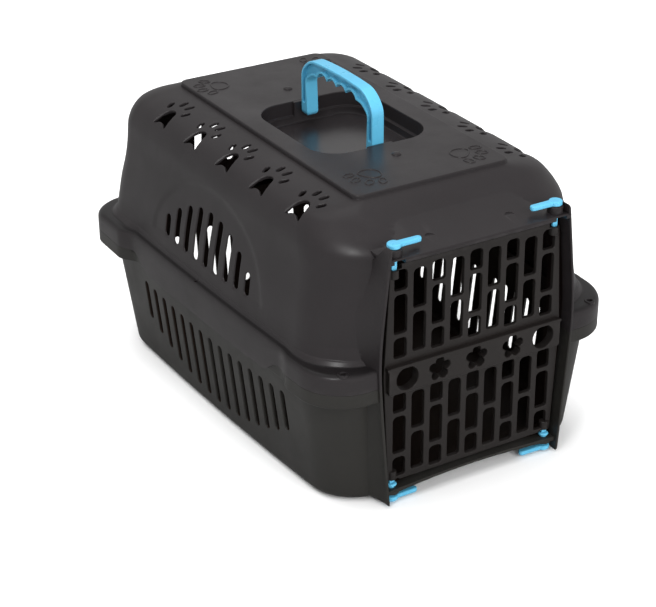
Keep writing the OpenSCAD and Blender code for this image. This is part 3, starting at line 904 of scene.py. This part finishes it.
def tray_body():
    top = SEAM_Z - SEAM_GAP
    outer = divided(tray_foot_levels(0) + [tray_wall(RIM_BOTTOM - 2), tray_wall(top - WALL)], 7)
    rim = softened([tray_rim_inner(top - WALL), tray_rim_inner(RIM_BOTTOM), tray_rim(RIM_BOTTOM, 0),
                    tray_rim(top, 0), tray_wall(top, WALL)], {2: 1.6, 3: 0.6})
    inner = divided([tray_wall(top, WALL), tray_wall(20, WALL)] + tray_foot_levels(WALL)[::-1], 9)
    return loft(outer + rim + inner[1:])


def tray_side_x(y, z):
    wall = FLOOR_HALF_W + LEAN * z
    return wall + (1.4 - 0.4 * z / RIM_BOTTOM) * side_swell(y)


def sill():
    """Bar under the door, arched upwards and thinner in the middle."""
    half = float(frame_half(SILL_Z)) - 0.6
    x = np.linspace(-half, half, 41)
    arch = 1 - (x / 100) ** 2
    low = SILL_Z + SILL_RISE * arch
    high = SILL_Z + SILL_T + (SILL_RISE - 2) * arch
    y0 = SILL_BACK - HALF_L
    set_back = [1.0, 0.3, 0, 0, 0.3, 1.0, 32, 32]
    rings = []
    for xi, lo, hi in zip(x, low, high):
        z = [lo, lo + 0.3, lo + 1.0, hi - 1.0, hi - 0.3, hi, hi, lo]
        rings.append([[xi, y0 + dy, zi] for dy, zi in zip(set_back, z)])
    return outward(stack(rings))


def rear_slots(count, pitch, w, low, high, sag):
    """Slots through the back wall; the outer ones end lower."""
    out = []
    for i in range(count):
        k = 2 * i / (count - 1) - 1
        top = high - sag * k * k
        outline = stadium(w, top - low) + [k * (count - 1) / 2 * pitch, (low + top) / 2]
        out.append(prism(outline, 1, HALF_L - 60, HALF_L + 10))
    return merged(*out)


def build_tray():
    tray = new_object("lower_tray_moulding", tray_body())
    cut(tray, side_slots(15, 20.8, 8, -9, (19, 39), (98.5, 6), tray_side_x))
    cut(tray, rear_slots(9, 22, 8, 24, 104, 4))
    cut(tray, tunnel(SILL_Z + SILL_RISE + 0.5, SEAM_Z + 40))
    front = new_object("front", collar(LIP_FOOT, SEAM_Z + 20, 2.2, fades=(9, 0)))
    cut(front, prism(rect(-220, -HALF_L - 5, 220, -HALF_L + 60), 2, SEAM_Z - SEAM_GAP, SEAM_Z + 40))
    cut(front, tunnel(-20, SEAM_Z + 40))
    add(tray, front)
    add(tray, sill())
    for seat in at_pins([(7.4, SILL_Z - 0.9), (8.0, SILL_Z - 0.3), (8.0, SILL_Z + 3)]):
        add(tray, seat)
    cut(tray, pin_holes(SILL_Z - 8, SILL_Z + SILL_T + 5))
    feet = [revolve([(24, 0), (25.4, 0.3), (26, 1), (26, 2.4)], (sx * 100, y), 48)
            for sx in (-1, 1) for y in (58 - HALF_L, 184)]
    for foot in feet:
        add(tray, foot)
    return tray


# ---------------------------------------------------------------- door
SLOT_PITCH = 21.6
SLOT_W = 14.8
BAND_Z0 = 125
BAND_Z1 = 155
BAND_OUT = 5.5
DOOR_T = 5


def upright(y_mid):
    """frame_of for drawings in X and Z."""
    def frame_of(p):
        return np.stack([p[:, 0], y_mid - p[:, 2], p[:, 1]], 1)
    return frame_of


def door_outline():
    z0, z1 = door_low[2] + 3, door_high[2]
    zm = (z0 + z1) / 2
    r = 5
    bottom, middle, top = 99.5, door_high[0], 98.5
    bend = [[middle - 0.25, zm - 6], [middle, zm], [middle - 0.25, zm + 6]]
    right = joined(arc(bottom - r, z0 + r, r, -90, 2, 6), bend, arc(top - r, z1 - r, r, -2, 90, 6))
    return joined(right, right[::-1] * [-1, 1])


def grille(z_mid):
    out = []
    long_h, short_h = 41.5, 21.5
    for c in range(-4, 5):
        even = [(0, long_h), (-36.3, short_h), (36.3, short_h)]
        odd = [(-23.3, long_h), (23.3, long_h)]
        for dz, h in (odd if c % 2 else even):
            out.append(rounded_rect(SLOT_W, h, 5, 2.5) + [c * SLOT_PITCH, z_mid + dz])
    return out


def flower(x, z):
    """Window with five round lobes."""
    lobe_r, reach = 4.9, 7.9
    half = 100
    lobes = []
    for a in [math.pi / 2 + k * 2 * math.pi / 5 for k in range(5)]:
        middle = math.degrees(a)
        lobes.append(arc(reach * math.cos(a), reach * math.sin(a), lobe_r, middle - half, middle + half, 12))
    return joined(*lobes) + [x, z]


def band_windows():
    z = (BAND_Z0 + BAND_Z1) / 2
    rounds = [arc(s * 81, z, 12.6, 0, 345, 23) for s in (-1, 1)]
    return rounds + [flower(x, z) for x in (-43.5, 0, 43.5)]


def build_door():
    y_front = door_low[1]
    plate_mid = y_front + BAND_OUT + DOOR_T / 2
    door = sheet([door_outline()] + grille(BAND_Z1 + 53.5) + grille(BAND_Z0 - 49.5) + band_windows(),
                 DOOR_T, 0.8, upright(plate_mid), "grille_door_moulding")
    band = rounded_rect(204, BAND_Z1 - BAND_Z0, 2.5, 2.5) + [0, (BAND_Z0 + BAND_Z1) / 2]
    flange = rounded_rect(207, 3.2, 1.4, 1.4) + [0, BAND_Z1 - 1.8]
    for name, outlines, thickness, edge in (("band", [band] + band_windows(), BAND_OUT + 3, 0.9),
                                            ("flange", [flange], BAND_OUT + 2, 0.8)):
        add(door, sheet(outlines, thickness, edge, upright(y_front + thickness / 2), name))
    gap, knuckle_h = 5, 9.5
    for s in (-1, 1):
        for z in (door_low[2] + gap, door_high[2] - gap - knuckle_h):
            add(door, revolve([(4.4, z), (5, z + 0.6), (5, z + knuckle_h - 0.6), (4.4, z + knuckle_h)],
                              (s * PIN_X, DOOR_Y)))
    spaces = [revolve([(8, z0), (8, z1)], (s * PIN_X, DOOR_Y)) for s in (-1, 1)
              for z0, z1 in ((door_low[2] - 1, door_low[2] + gap), (door_high[2] - gap, door_high[2] + 1))]
    bore_h, mouth_half = 8.5, 1.9
    bore_feet = (door_low[2] + gap - 1, door_high[2] - gap - 7.5)
    bores = [revolve([(3.05, z), (3.05, z + bore_h)], (s * PIN_X, DOOR_Y))
             for s in (-1, 1) for z in bore_feet]
    mouth = rect(-PIN_X - mouth_half, DOOR_Y + 1, -PIN_X + mouth_half, DOOR_Y + 12)
    mouths = [prism(mouth, 2, z, z + bore_h) for z in bore_feet]
    cut(door, merged(*spaces))
    cut(door, merged(*bores))
    cut(door, merged(*mouths))
    return door


# ---------------------------------------------------------------- handle
HANDLE_H = handle_high[2] - handle_pivot[2]
HANDLE_HALF = 72
HANDLE_W = handle_high[0] - handle_low[0]
LEG_T = 11
GRIP_T = 16
WEB = 4
FLANGE = 2.5
GROOVE_R = 11
GROOVE_PITCH = 19


def crown_drop(y, half, r):
    """How far the crowned top has fallen at y."""
    crown = 4.5
    crown_r = ((half - r) ** 2 + crown**2) / (2 * crown)
    return crown_r - np.sqrt(crown_r**2 - y**2)


def grip_top(half, h, r, n=40):
    """Contour over the grip from its right to its left side, anticlockwise."""
    corner = arc(half - r, h - r, r, 0, 90, 14)
    y = np.linspace(half - r, r - half, n)
    run = joined(corner, np.stack([y, np.full(n, h)], 1), corner[::-1] * [-1, 1])
    run[:, 1] -= crown_drop(run[:, 0] * (half - r) / half, half, r) * smooth((run[:, 1] - (h - r)) / r)
    return run


def grooved_under(half, h, grow):
    """Contour under the grip from its left to its right side, with the finger grooves."""
    inner = grip_top(half, h, 15 + grow)[::-1]
    y = np.linspace(-half, half, 240)
    under = np.interp(y, inner[:, 0], inner[:, 1])
    centre = HANDLE_H - GRIP_T - 6
    for i in (-1.5, -0.5, 0.5, 1.5):
        reach = (GROOVE_R + grow) ** 2 - (y - i * GROOVE_PITCH) ** 2
        under = np.maximum(under, centre + np.sqrt(np.maximum(reach, 0)) * (reach > 0))
    middle = np.abs(y) < half - 15 - grow
    first, last = y[middle][[0, -1]]
    return joined(inner[inner[:, 0] <= first], np.stack([y, under], 1)[middle],
                  inner[inner[:, 0] >= last])


def handle_outline():
    leg = HANDLE_HALF - LEG_T
    foot_r = LEG_T / 2 + 0.75
    foot_mid = HANDLE_HALF - foot_r
    right_foot = arc(foot_mid, 0, foot_r, -180, 0, 14)
    left_foot = arc(-foot_mid, 0, foot_r, 180, 360, 14)
    return joined(right_foot, grip_top(HANDLE_HALF, HANDLE_H, 27), left_foot,
                  grooved_under(leg, HANDLE_H - GRIP_T, 0))


def pocket_outline():
    half = HANDLE_HALF - FLANGE
    leg = HANDLE_HALF - LEG_T + FLANGE
    floor = 8.5
    r = 1.6
    under = grooved_under(leg, HANDLE_H - GRIP_T + FLANGE, FLANGE)
    top = grip_top(half, HANDLE_H - FLANGE, 24.5)
    right = joined(arc(leg + r, floor + r, r, 180, 270, 4), arc(half - r, floor + r, r, 270, 360, 4))
    left = joined(arc(-half + r, floor + r, r, 180, 270, 4), arc(-leg - r, floor + r, r, 270, 360, 4))
    return joined(right, top, left, under)


def along_handle(x_mid):
    """frame_of for drawings in Y and Z, measured from the handle's pivot."""
    def frame_of(p):
        return np.stack([x_mid + p[:, 2], RECESS_Y + p[:, 0], handle_pivot[2] + p[:, 1]], 1)
    return frame_of


def build_handle():
    handle = sheet([handle_outline()], HANDLE_W, 0.9, along_handle(0), "carry_handle_moulding")
    depth = HANDLE_W / 2 - WEB / 2
    for s in (-1, 1):
        place = along_handle(s * (WEB / 2 + depth / 2 + 2))
        cut(handle, sheet([pocket_outline()], depth + 4, 0.6, place, "pocket"))
    foot_r = HANDLE_W / 2 + 0.02
    foot = joined(arc(0, 0, foot_r, 180, 360, 24), [foot_r, HANDLE_H + 5], [-foot_r, HANDLE_H + 5])
    reach = HANDLE_HALF + 3
    keep(handle, prism(foot + [0, handle_pivot[2]], 1, RECESS_Y - reach, RECESS_Y + reach))
    for s in (-1, 1):
        inner = RECESS_Y + s * (HANDLE_HALF - 1)
        outer = (handle_high if s > 0 else handle_low)[1]
        stub = [(4, inner), (4, outer - s * 0.6), (3.4, outer)]
        add(handle, revolve(stub, (0, handle_pivot[2]), axis=1))
    return handle


# ---------------------------------------------------------------- latches
def lever_outline():
    """Spoon: a round head and a slimmer arm with a rounded end."""
    head_r, neck, tip = 7, 3.9, 3.6
    arm_l = 30
    meet = math.degrees(math.asin(neck / head_r))
    head = arc(0, 0, head_r, meet, 360 - meet, 28)
    end = arc(arm_l - tip, 0, tip, -90, 90, 10)
    low = [[head_r + 3.5, -neck + 0.1]]
    high = [[head_r + 3.5, neck - 0.1]]
    return joined(head, low, end, high)


def latch(z0, stem_h, tip_h):
    """Lever, stem, ball collar and flattened tip; the arm points to +X and the tip down."""
    def lying(p):
        return np.stack([p[:, 0], DOOR_Y + p[:, 1], z0 + LEVER_T / 2 + p[:, 2]], 1)
    obj = sheet([lever_outline()], LEVER_T, 1.5, lying, "latch")
    axis = (0, DOOR_Y)
    add(obj, revolve([(3.4, z0 - stem_h - 1), (3.4, z0 + 1)], axis, 24))
    turn = np.radians(np.linspace(-75, 75, 11))
    middle = z0 - stem_h - COLLAR_H / 2
    ball = np.stack([COLLAR_R * (0.55 + 0.45 * np.cos(turn)),
                     middle + COLLAR_H / 2 * np.sin(turn) / np.sin(turn[-1])], 1)
    add(obj, revolve(ball, axis, 32))
    tip_top, tip_low = middle, z0 - stem_h - COLLAR_H - tip_h
    tip = new_object("tip", revolve([(2.2, tip_low), (3, tip_low + 1), (3, tip_top)], axis, 24))
    keep(tip, prism(rect(-4, DOOR_Y - 1.5, 4, DOOR_Y + 1.5), 2, tip_low - 1, tip_top + 1))
    return add(obj, tip)


def placed_latch(name, side, top):
    if top:
        z0 = top_lever_high[2] - LEVER_T
        obj = latch(z0, z0 - COLLAR_TOP_Z, 13)
    else:
        obj = latch(-(low_lever_low[2] + LEVER_T), 11, 9)
    for turned_over, axis in ((not top, (0, 0, 1)), (side > 0, (1, 0, 0))):
        if turned_over:
            obj.data.transform(Matrix.Scale(-1, 4, axis))
            obj.data.flip_normals()
    obj.data.transform(Matrix.Translation((side * PIN_X * MM, 0, 0)))
    obj.name = name
    return obj


# ---------------------------------------------------------------- materials
class Nodes:
    """Short way to build a node material."""

    def __init__(self, name):
        self.material = bpy.data.materials.new(name)
        self.material.use_nodes = True
        self.tree = self.material.node_tree
        self.tree.nodes.clear()
        self.out = self.make("OutputMaterial")
        self.bsdf = self.make("BsdfPrincipled")
        self.join(self.bsdf.outputs["BSDF"], self.out.inputs["Surface"])
        coordinates = self.make("TexCoord")
        self.place = coordinates.outputs["Object"]
        self.normal = coordinates.outputs["Normal"]

    def make(self, kind, **values):
        node = self.tree.nodes.new("ShaderNode" + kind)
        for key, value in values.items():
            if key in node.inputs:
                node.inputs[key].default_value = value
            else:
                setattr(node, key, value)
        return node

    def join(self, a, b):
        self.tree.links.new(a, b)

    def feed(self, value, socket):
        """Joins an output to a socket, or sets it to a number or a colour."""
        if isinstance(value, bpy.types.NodeSocket):
            self.join(value, socket)
        else:
            socket.default_value = (*value, 1) if isinstance(value, tuple) else value

    def surface(self, **inputs):
        """Feeds inputs of the shader, their names written with _ for a space."""
        for key, value in inputs.items():
            self.feed(value, self.bsdf.inputs[key.replace("_", " ")])

    def noise(self, scale, detail=4.0, rough=0.55):
        node = self.make("TexNoise", Scale=scale, Detail=detail, Roughness=rough)
        self.join(self.place, node.inputs["Vector"])
        return node.outputs["Fac"]

    def cells(self, scale):
        node = self.make("TexVoronoi", Scale=scale, feature="DISTANCE_TO_EDGE")
        self.join(self.place, node.inputs["Vector"])
        return node.outputs["Distance"]

    def ramp(self, value, stops):
        node = self.make("ValToRGB")
        band = node.color_ramp
        while len(band.elements) < len(stops):
            band.elements.new(0.5)
        for element, (at, colour) in zip(band.elements, stops):
            element.position = at
            element.color = colour if len(colour) == 4 else (*colour, 1)
        self.join(value, node.inputs["Fac"])
        return node.outputs["Color"]

    def mix(self, a, b, amount, blend="MIX"):
        node = self.make("Mix", data_type="RGBA", blend_type=blend)
        fac, sock_a, sock_b = node.inputs[0], node.inputs[6], node.inputs[7]
        for value, socket in ((amount, fac), (a, sock_a), (b, sock_b)):
            self.feed(value, socket)
        return node.outputs[2]

    def span(self, value, low, high, from_low=0.0, from_high=1.0):
        node = self.make("MapRange")
        for key, v in zip(("From Min", "From Max", "To Min", "To Max"), (from_low, from_high, low, high)):
            node.inputs[key].default_value = v
        self.join(value, node.inputs["Value"])
        return node.outputs["Result"]

    def maths(self, operation, a, b):
        node = self.make("Math", operation=operation)
        for value, socket in ((a, node.inputs[0]), (b, node.inputs[1])):
            self.feed(value, socket)
        return node.outputs["Value"]

    def product(self, *masks):
        out = masks[0]
        for mask in masks[1:]:
            out = self.maths("MULTIPLY", out, mask)
        return out

    def edges(self, start, tone):
        """Tone on convex edges, black elsewhere."""
        pointy = self.make("NewGeometry").outputs["Pointiness"]
        return self.ramp(pointy, [(start, (0, 0, 0)), (0.6, tone)])

    def facing_in(self, centre):
        """1 on faces that look towards a point, 0 on faces that look away from it."""
        arm = self.make("VectorMath", operation="SUBTRACT")
        self.join(self.place, arm.inputs[0])
        arm.inputs[1].default_value = centre
        dot = self.make("VectorMath", operation="DOT_PRODUCT")
        self.join(arm.outputs["Vector"], dot.inputs[0])
        self.join(self.normal, dot.inputs[1])
        return self.span(dot.outputs["Value"], 1, 0, -0.004, 0.0)

    def facing_up(self):
        split = self.make("SeparateXYZ")
        self.join(self.normal, split.inputs["Vector"])
        return self.span(split.outputs["Z"], 0, 0.85, 0.45, 0.9)

    def between(self, axis, low, high):
        """1 where a coordinate is between two values."""
        split = self.make("SeparateXYZ")
        self.join(self.place, split.inputs["Vector"])
        above = self.maths("GREATER_THAN", split.outputs[axis], low)
        return self.maths("MULTIPLY", above, self.maths("LESS_THAN", split.outputs[axis], high))

    def mix_value(self, a, b, amount):
        low = self.maths("MULTIPLY", a, self.maths("SUBTRACT", 1.0, amount))
        return self.maths("ADD", low, self.maths("MULTIPLY", amount, b))

    def bump(self, height, distance, strength, before=None):
        node = self.make("Bump", Strength=strength, Distance=distance)
        self.join(height, node.inputs["Height"])
        if before is not None:
            self.join(before, node.inputs["Normal"])
        return node.outputs["Normal"]


def shades(colour, spread):
    return [tuple(c * (1 + k * spread) for c in colour) for k in (-1, 0, 1)]


LEATHER_SCALE = 950
COLOUR_SPREAD = 0.12
WEAR = 0.35
SHINE = 0.34


def moulded_plastic(name, colour, roughness, grain, inside=None, floor=None, shelf=None):
    """Injection-moulded plastic: leather grain, slight flow marks and rubbed edges.

    inside is a height in metres: faces that look at the middle of the cabin at that height get painted
    shade, browner, darker and less shiny. floor is a height range that is smoother inside the recess,
    and shelf one whose faces that look up are darkened with painted shade."""
    n = Nodes(name)
    dark, plain, light = shades(colour, COLOUR_SPREAD)
    base = n.ramp(n.noise(9, 5, 0.6), [(0.3, dark), (0.52, plain), (0.75, light)])
    speck = n.ramp(n.noise(1300, 2, 0.5), [(0.3, (0.86,) * 3), (0.7, (1.14,) * 3)])
    base = n.mix(base, speck, 1.0, "MULTIPLY")
    patches = n.ramp(n.noise(60, 4, 0.7), [(0.42, (0, 0, 0)), (0.62, (WEAR,) * 3)])
    rub = n.mix((0, 0, 0), n.edges(0.515, (1, 1, 1)), patches)
    base = n.mix(base, tuple(c * 1.5 + 0.012 for c in colour), rub)
    rough = n.span(n.noise(22, 6, 0.65), roughness - 0.05, roughness + 0.07, 0.3, 0.7)
    shine = SHINE
    if shelf is not None:
        # Painted shade: faces of the rim shelf that look up are darkened
        painted_shelf_shade = tuple(c * 0.35 for c in colour)
        base = n.mix(base, painted_shelf_shade, n.product(n.between("Z", *shelf), n.facing_up()))
    if inside is not None:
        # Painted shade inside the cabin: inward-facing faces made darker, browner and less shiny
        inner = n.product(n.facing_in((0, 0, inside)), n.between("Y", (16 - HALF_L) * MM, 1),
                          n.between("Z", -1, (BODY_H - RECESS_DEPTH - 3) * MM))
        base = n.mix(base, tuple(c * k for c, k in zip(colour, (0.75, 0.5, 0.42))), inner)
        shine = n.span(inner, SHINE, 0.12)
    if floor is not None:
        half_w, half_l, middle = (v * MM for v in (RECESS_HALF_W, RECESS_HALF_L, RECESS_Y))
        in_recess = n.product(n.between("Z", *floor), n.between("X", -half_w, half_w),
                              n.between("Y", middle - half_l, middle + half_l))
        shine = n.mix_value(shine, 0.9, in_recess)
        rough = n.mix_value(rough, 0.27, in_recess)
    flow = n.bump(n.noise(14, 2, 0.4), 0.0012, 0.12)
    leather = n.bump(n.cells(LEATHER_SCALE), 0.00012, grain, flow)
    fine = n.bump(n.noise(2600, 3, 0.6), 0.00003, grain * 0.7, leather)
    n.surface(Base_Color=base, Roughness=rough, Specular_IOR_Level=shine, Normal=fine)
    return n.material


def coloured_plastic(name, colour):
    """Glossier blue plastic: smooth skin, faint orange peel, lighter worn edges."""
    n = Nodes(name)
    dark, plain, light = shades(colour, 0.06)
    base = n.ramp(n.noise(18, 4, 0.55), [(0.3, dark), (0.5, plain), (0.75, light)])
    worn = tuple(min(1, c * 1.25 + 0.03) for c in colour)
    base = n.mix(base, worn, n.edges(0.51, (0.5,) * 3))
    rough = n.span(n.noise(40, 5, 0.6), 0.25, 0.36, 0.3, 0.7)
    peel = n.bump(n.noise(420, 3, 0.5), 0.00006, 0.25)
    fine = n.bump(n.noise(2300, 2, 0.5), 0.00002, 0.3, peel)
    n.surface(Base_Color=base, Roughness=rough, Normal=fine, Subsurface_Weight=0.04, IOR=1.49)
    n.bsdf.inputs["Subsurface Radius"].default_value = (0.002, 0.003, 0.004)
    return n.material


def floor_material():
    """Pale floor, dimmer where the carrier mirrors it."""
    n = Nodes("pale_floor")
    pale = n.ramp(n.noise(2.5, 3, 0.5), [(0.3, (0.90,) * 3), (0.7, (0.92,) * 3)])
    path = n.make("LightPath")
    seen = n.mix(pale, (0.26,) * 3, path.outputs["Is Glossy Ray"])
    n.surface(Base_Color=seen, Roughness=0.7, Specular_IOR_Level=0.2)
    return n.material


# ---------------------------------------------------------------- assembly
def finished(obj, body, node, material):
    obj.data.materials.clear()
    obj.data.materials.append(material)
    shade(obj)
    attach(obj, body)
    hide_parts(node)
    return obj


def build_carrier():
    recess_z = BODY_H - RECESS_DEPTH
    # inside and shelf paint shade into the plastics: inside the cabin, and on the shell's rim shelf
    shell_plastic = moulded_plastic("charcoal_shell", (0.0150, 0.0128, 0.0136), 0.34, 0.3, inside=0.15,
                                    floor=((recess_z - 0.4) * MM, (recess_z + 0.4) * MM),
                                    shelf=((RIM_TOP - 6) * MM, (RIM_TOP + 1.3) * MM))
    tray_plastic = moulded_plastic("charcoal_tray", (0.0150, 0.0142, 0.0126), 0.38, 0.4, inside=0.15)
    door_plastic = moulded_plastic("charcoal_door", (0.0110, 0.0092, 0.0086), 0.36, 0.15)
    blue_plastic = coloured_plastic("sky_blue", (0.080, 0.345, 0.52))
    finished(build_tray(), "tray", "lower_tray", tray_plastic)
    finished(build_shell(), "shell", "upper_shell", shell_plastic)
    finished(build_door(), "grille_door", "door", door_plastic)
    finished(build_handle(), "carry_handle", "handle", blue_plastic)
    for side, side_name in ((-1, "left"), (1, "right")):
        for top, height in ((True, "top"), (False, "bottom")):
            body = f"{height}_{side_name}_latch"
            obj = placed_latch(body + "_lever", side, top)
            finished(obj, body, f"latch_{height}_{side_name}", blue_plastic)


# ---------------------------------------------------------------- stage
CAMERA_AT = (-0.939335, -1.549561, 1.016065)
CAMERA_AZIMUTH = -30.66
CAMERA_ELEVATION = 27.07
CAMERA_ROLL = -0.40
CAMERA_LENS = 101.52
SENSOR = 36


def build_camera():
    a, e, r = (math.radians(v) for v in (CAMERA_AZIMUTH, CAMERA_ELEVATION, CAMERA_ROLL))
    back = Vector((math.sin(a) * math.cos(e), -math.cos(a) * math.cos(e), math.sin(e)))
    level_right = Vector((math.cos(a), math.sin(a), 0))
    level_up = back.cross(level_right)
    right = level_right * math.cos(r) + level_up * math.sin(r)
    up = level_up * math.cos(r) - level_right * math.sin(r)
    data = bpy.data.cameras.new("camera")
    data.lens = CAMERA_LENS
    data.sensor_width = SENSOR
    camera = linked("camera", data)
    turn = Matrix((right, up, back)).transposed()
    camera.matrix_world = Matrix.Translation(CAMERA_AT) @ turn.to_4x4()
    bpy.context.scene.camera = camera


def area_light(name, at, aim, size, power):
    data = bpy.data.lights.new(name, "AREA")
    data.shape = "RECTANGLE"
    data.size, data.size_y = size
    data.energy = power
    light = linked(name, data)
    light.location = at
    light.rotation_mode = "QUATERNION"
    light.rotation_quaternion = (Vector(aim) - Vector(at)).to_track_quat("-Z", "Y")
    return light


def sun_light(name, tilt, spread, strength):
    data = bpy.data.lights.new(name, "SUN")
    data.angle = math.radians(spread)
    data.energy = strength
    light = linked(name, data)
    light.rotation_euler = (math.radians(tilt[0]), math.radians(tilt[1]), 0)
    light.visible_glossy = False
    return light


def build_stage():
    mesh = bpy.data.meshes.new("floor")
    half = 12
    mesh.from_pydata([(x, y, 0) for x, y in rect(-half, -half, half, half)], [], [(0, 1, 2, 3)])
    mesh.materials.append(floor_material())
    floor = linked("floor", mesh)
    floor.location.z = cad_low.z - 0.0004
    world = bpy.data.worlds.new("studio")
    world.use_nodes = True
    tree = world.node_tree
    background = tree.nodes["Background"]
    background.inputs["Color"].default_value = (1, 1, 1, 1)
    seen = tree.nodes.new("ShaderNodeLightPath")
    strength = tree.nodes.new("ShaderNodeMapRange")
    strength.inputs["To Min"].default_value = 0.45
    strength.inputs["To Max"].default_value = 1.0
    tree.links.new(seen.outputs["Is Camera Ray"], strength.inputs["Value"])
    tree.links.new(strength.outputs["Result"], background.inputs["Strength"])
    bpy.context.scene.world = world
    area_light("key", (-1.28, -1.08, 1.80), (0, 0, 0.2), (0.4, 0.4), 12)
    area_light("top", (0.2, 0.9, 2.6), (0, 0, 0.2), (2.0, 1.2), 5)
    glow = area_light("glow", (1.0, 1.78, 1.10), (0, 0, 0.3), (0.8, 0.45), 0.25)
    glow.visible_diffuse = False
    sun_light("overhead", (-12, -6), 60, 2.9)
    sun_light("front", (68, 8), 50, 3.0)
    bpy.context.scene.view_settings.view_transform = "Standard"
    bpy.context.scene.view_settings.look = "None"


build_carrier()
build_stage()
build_camera()
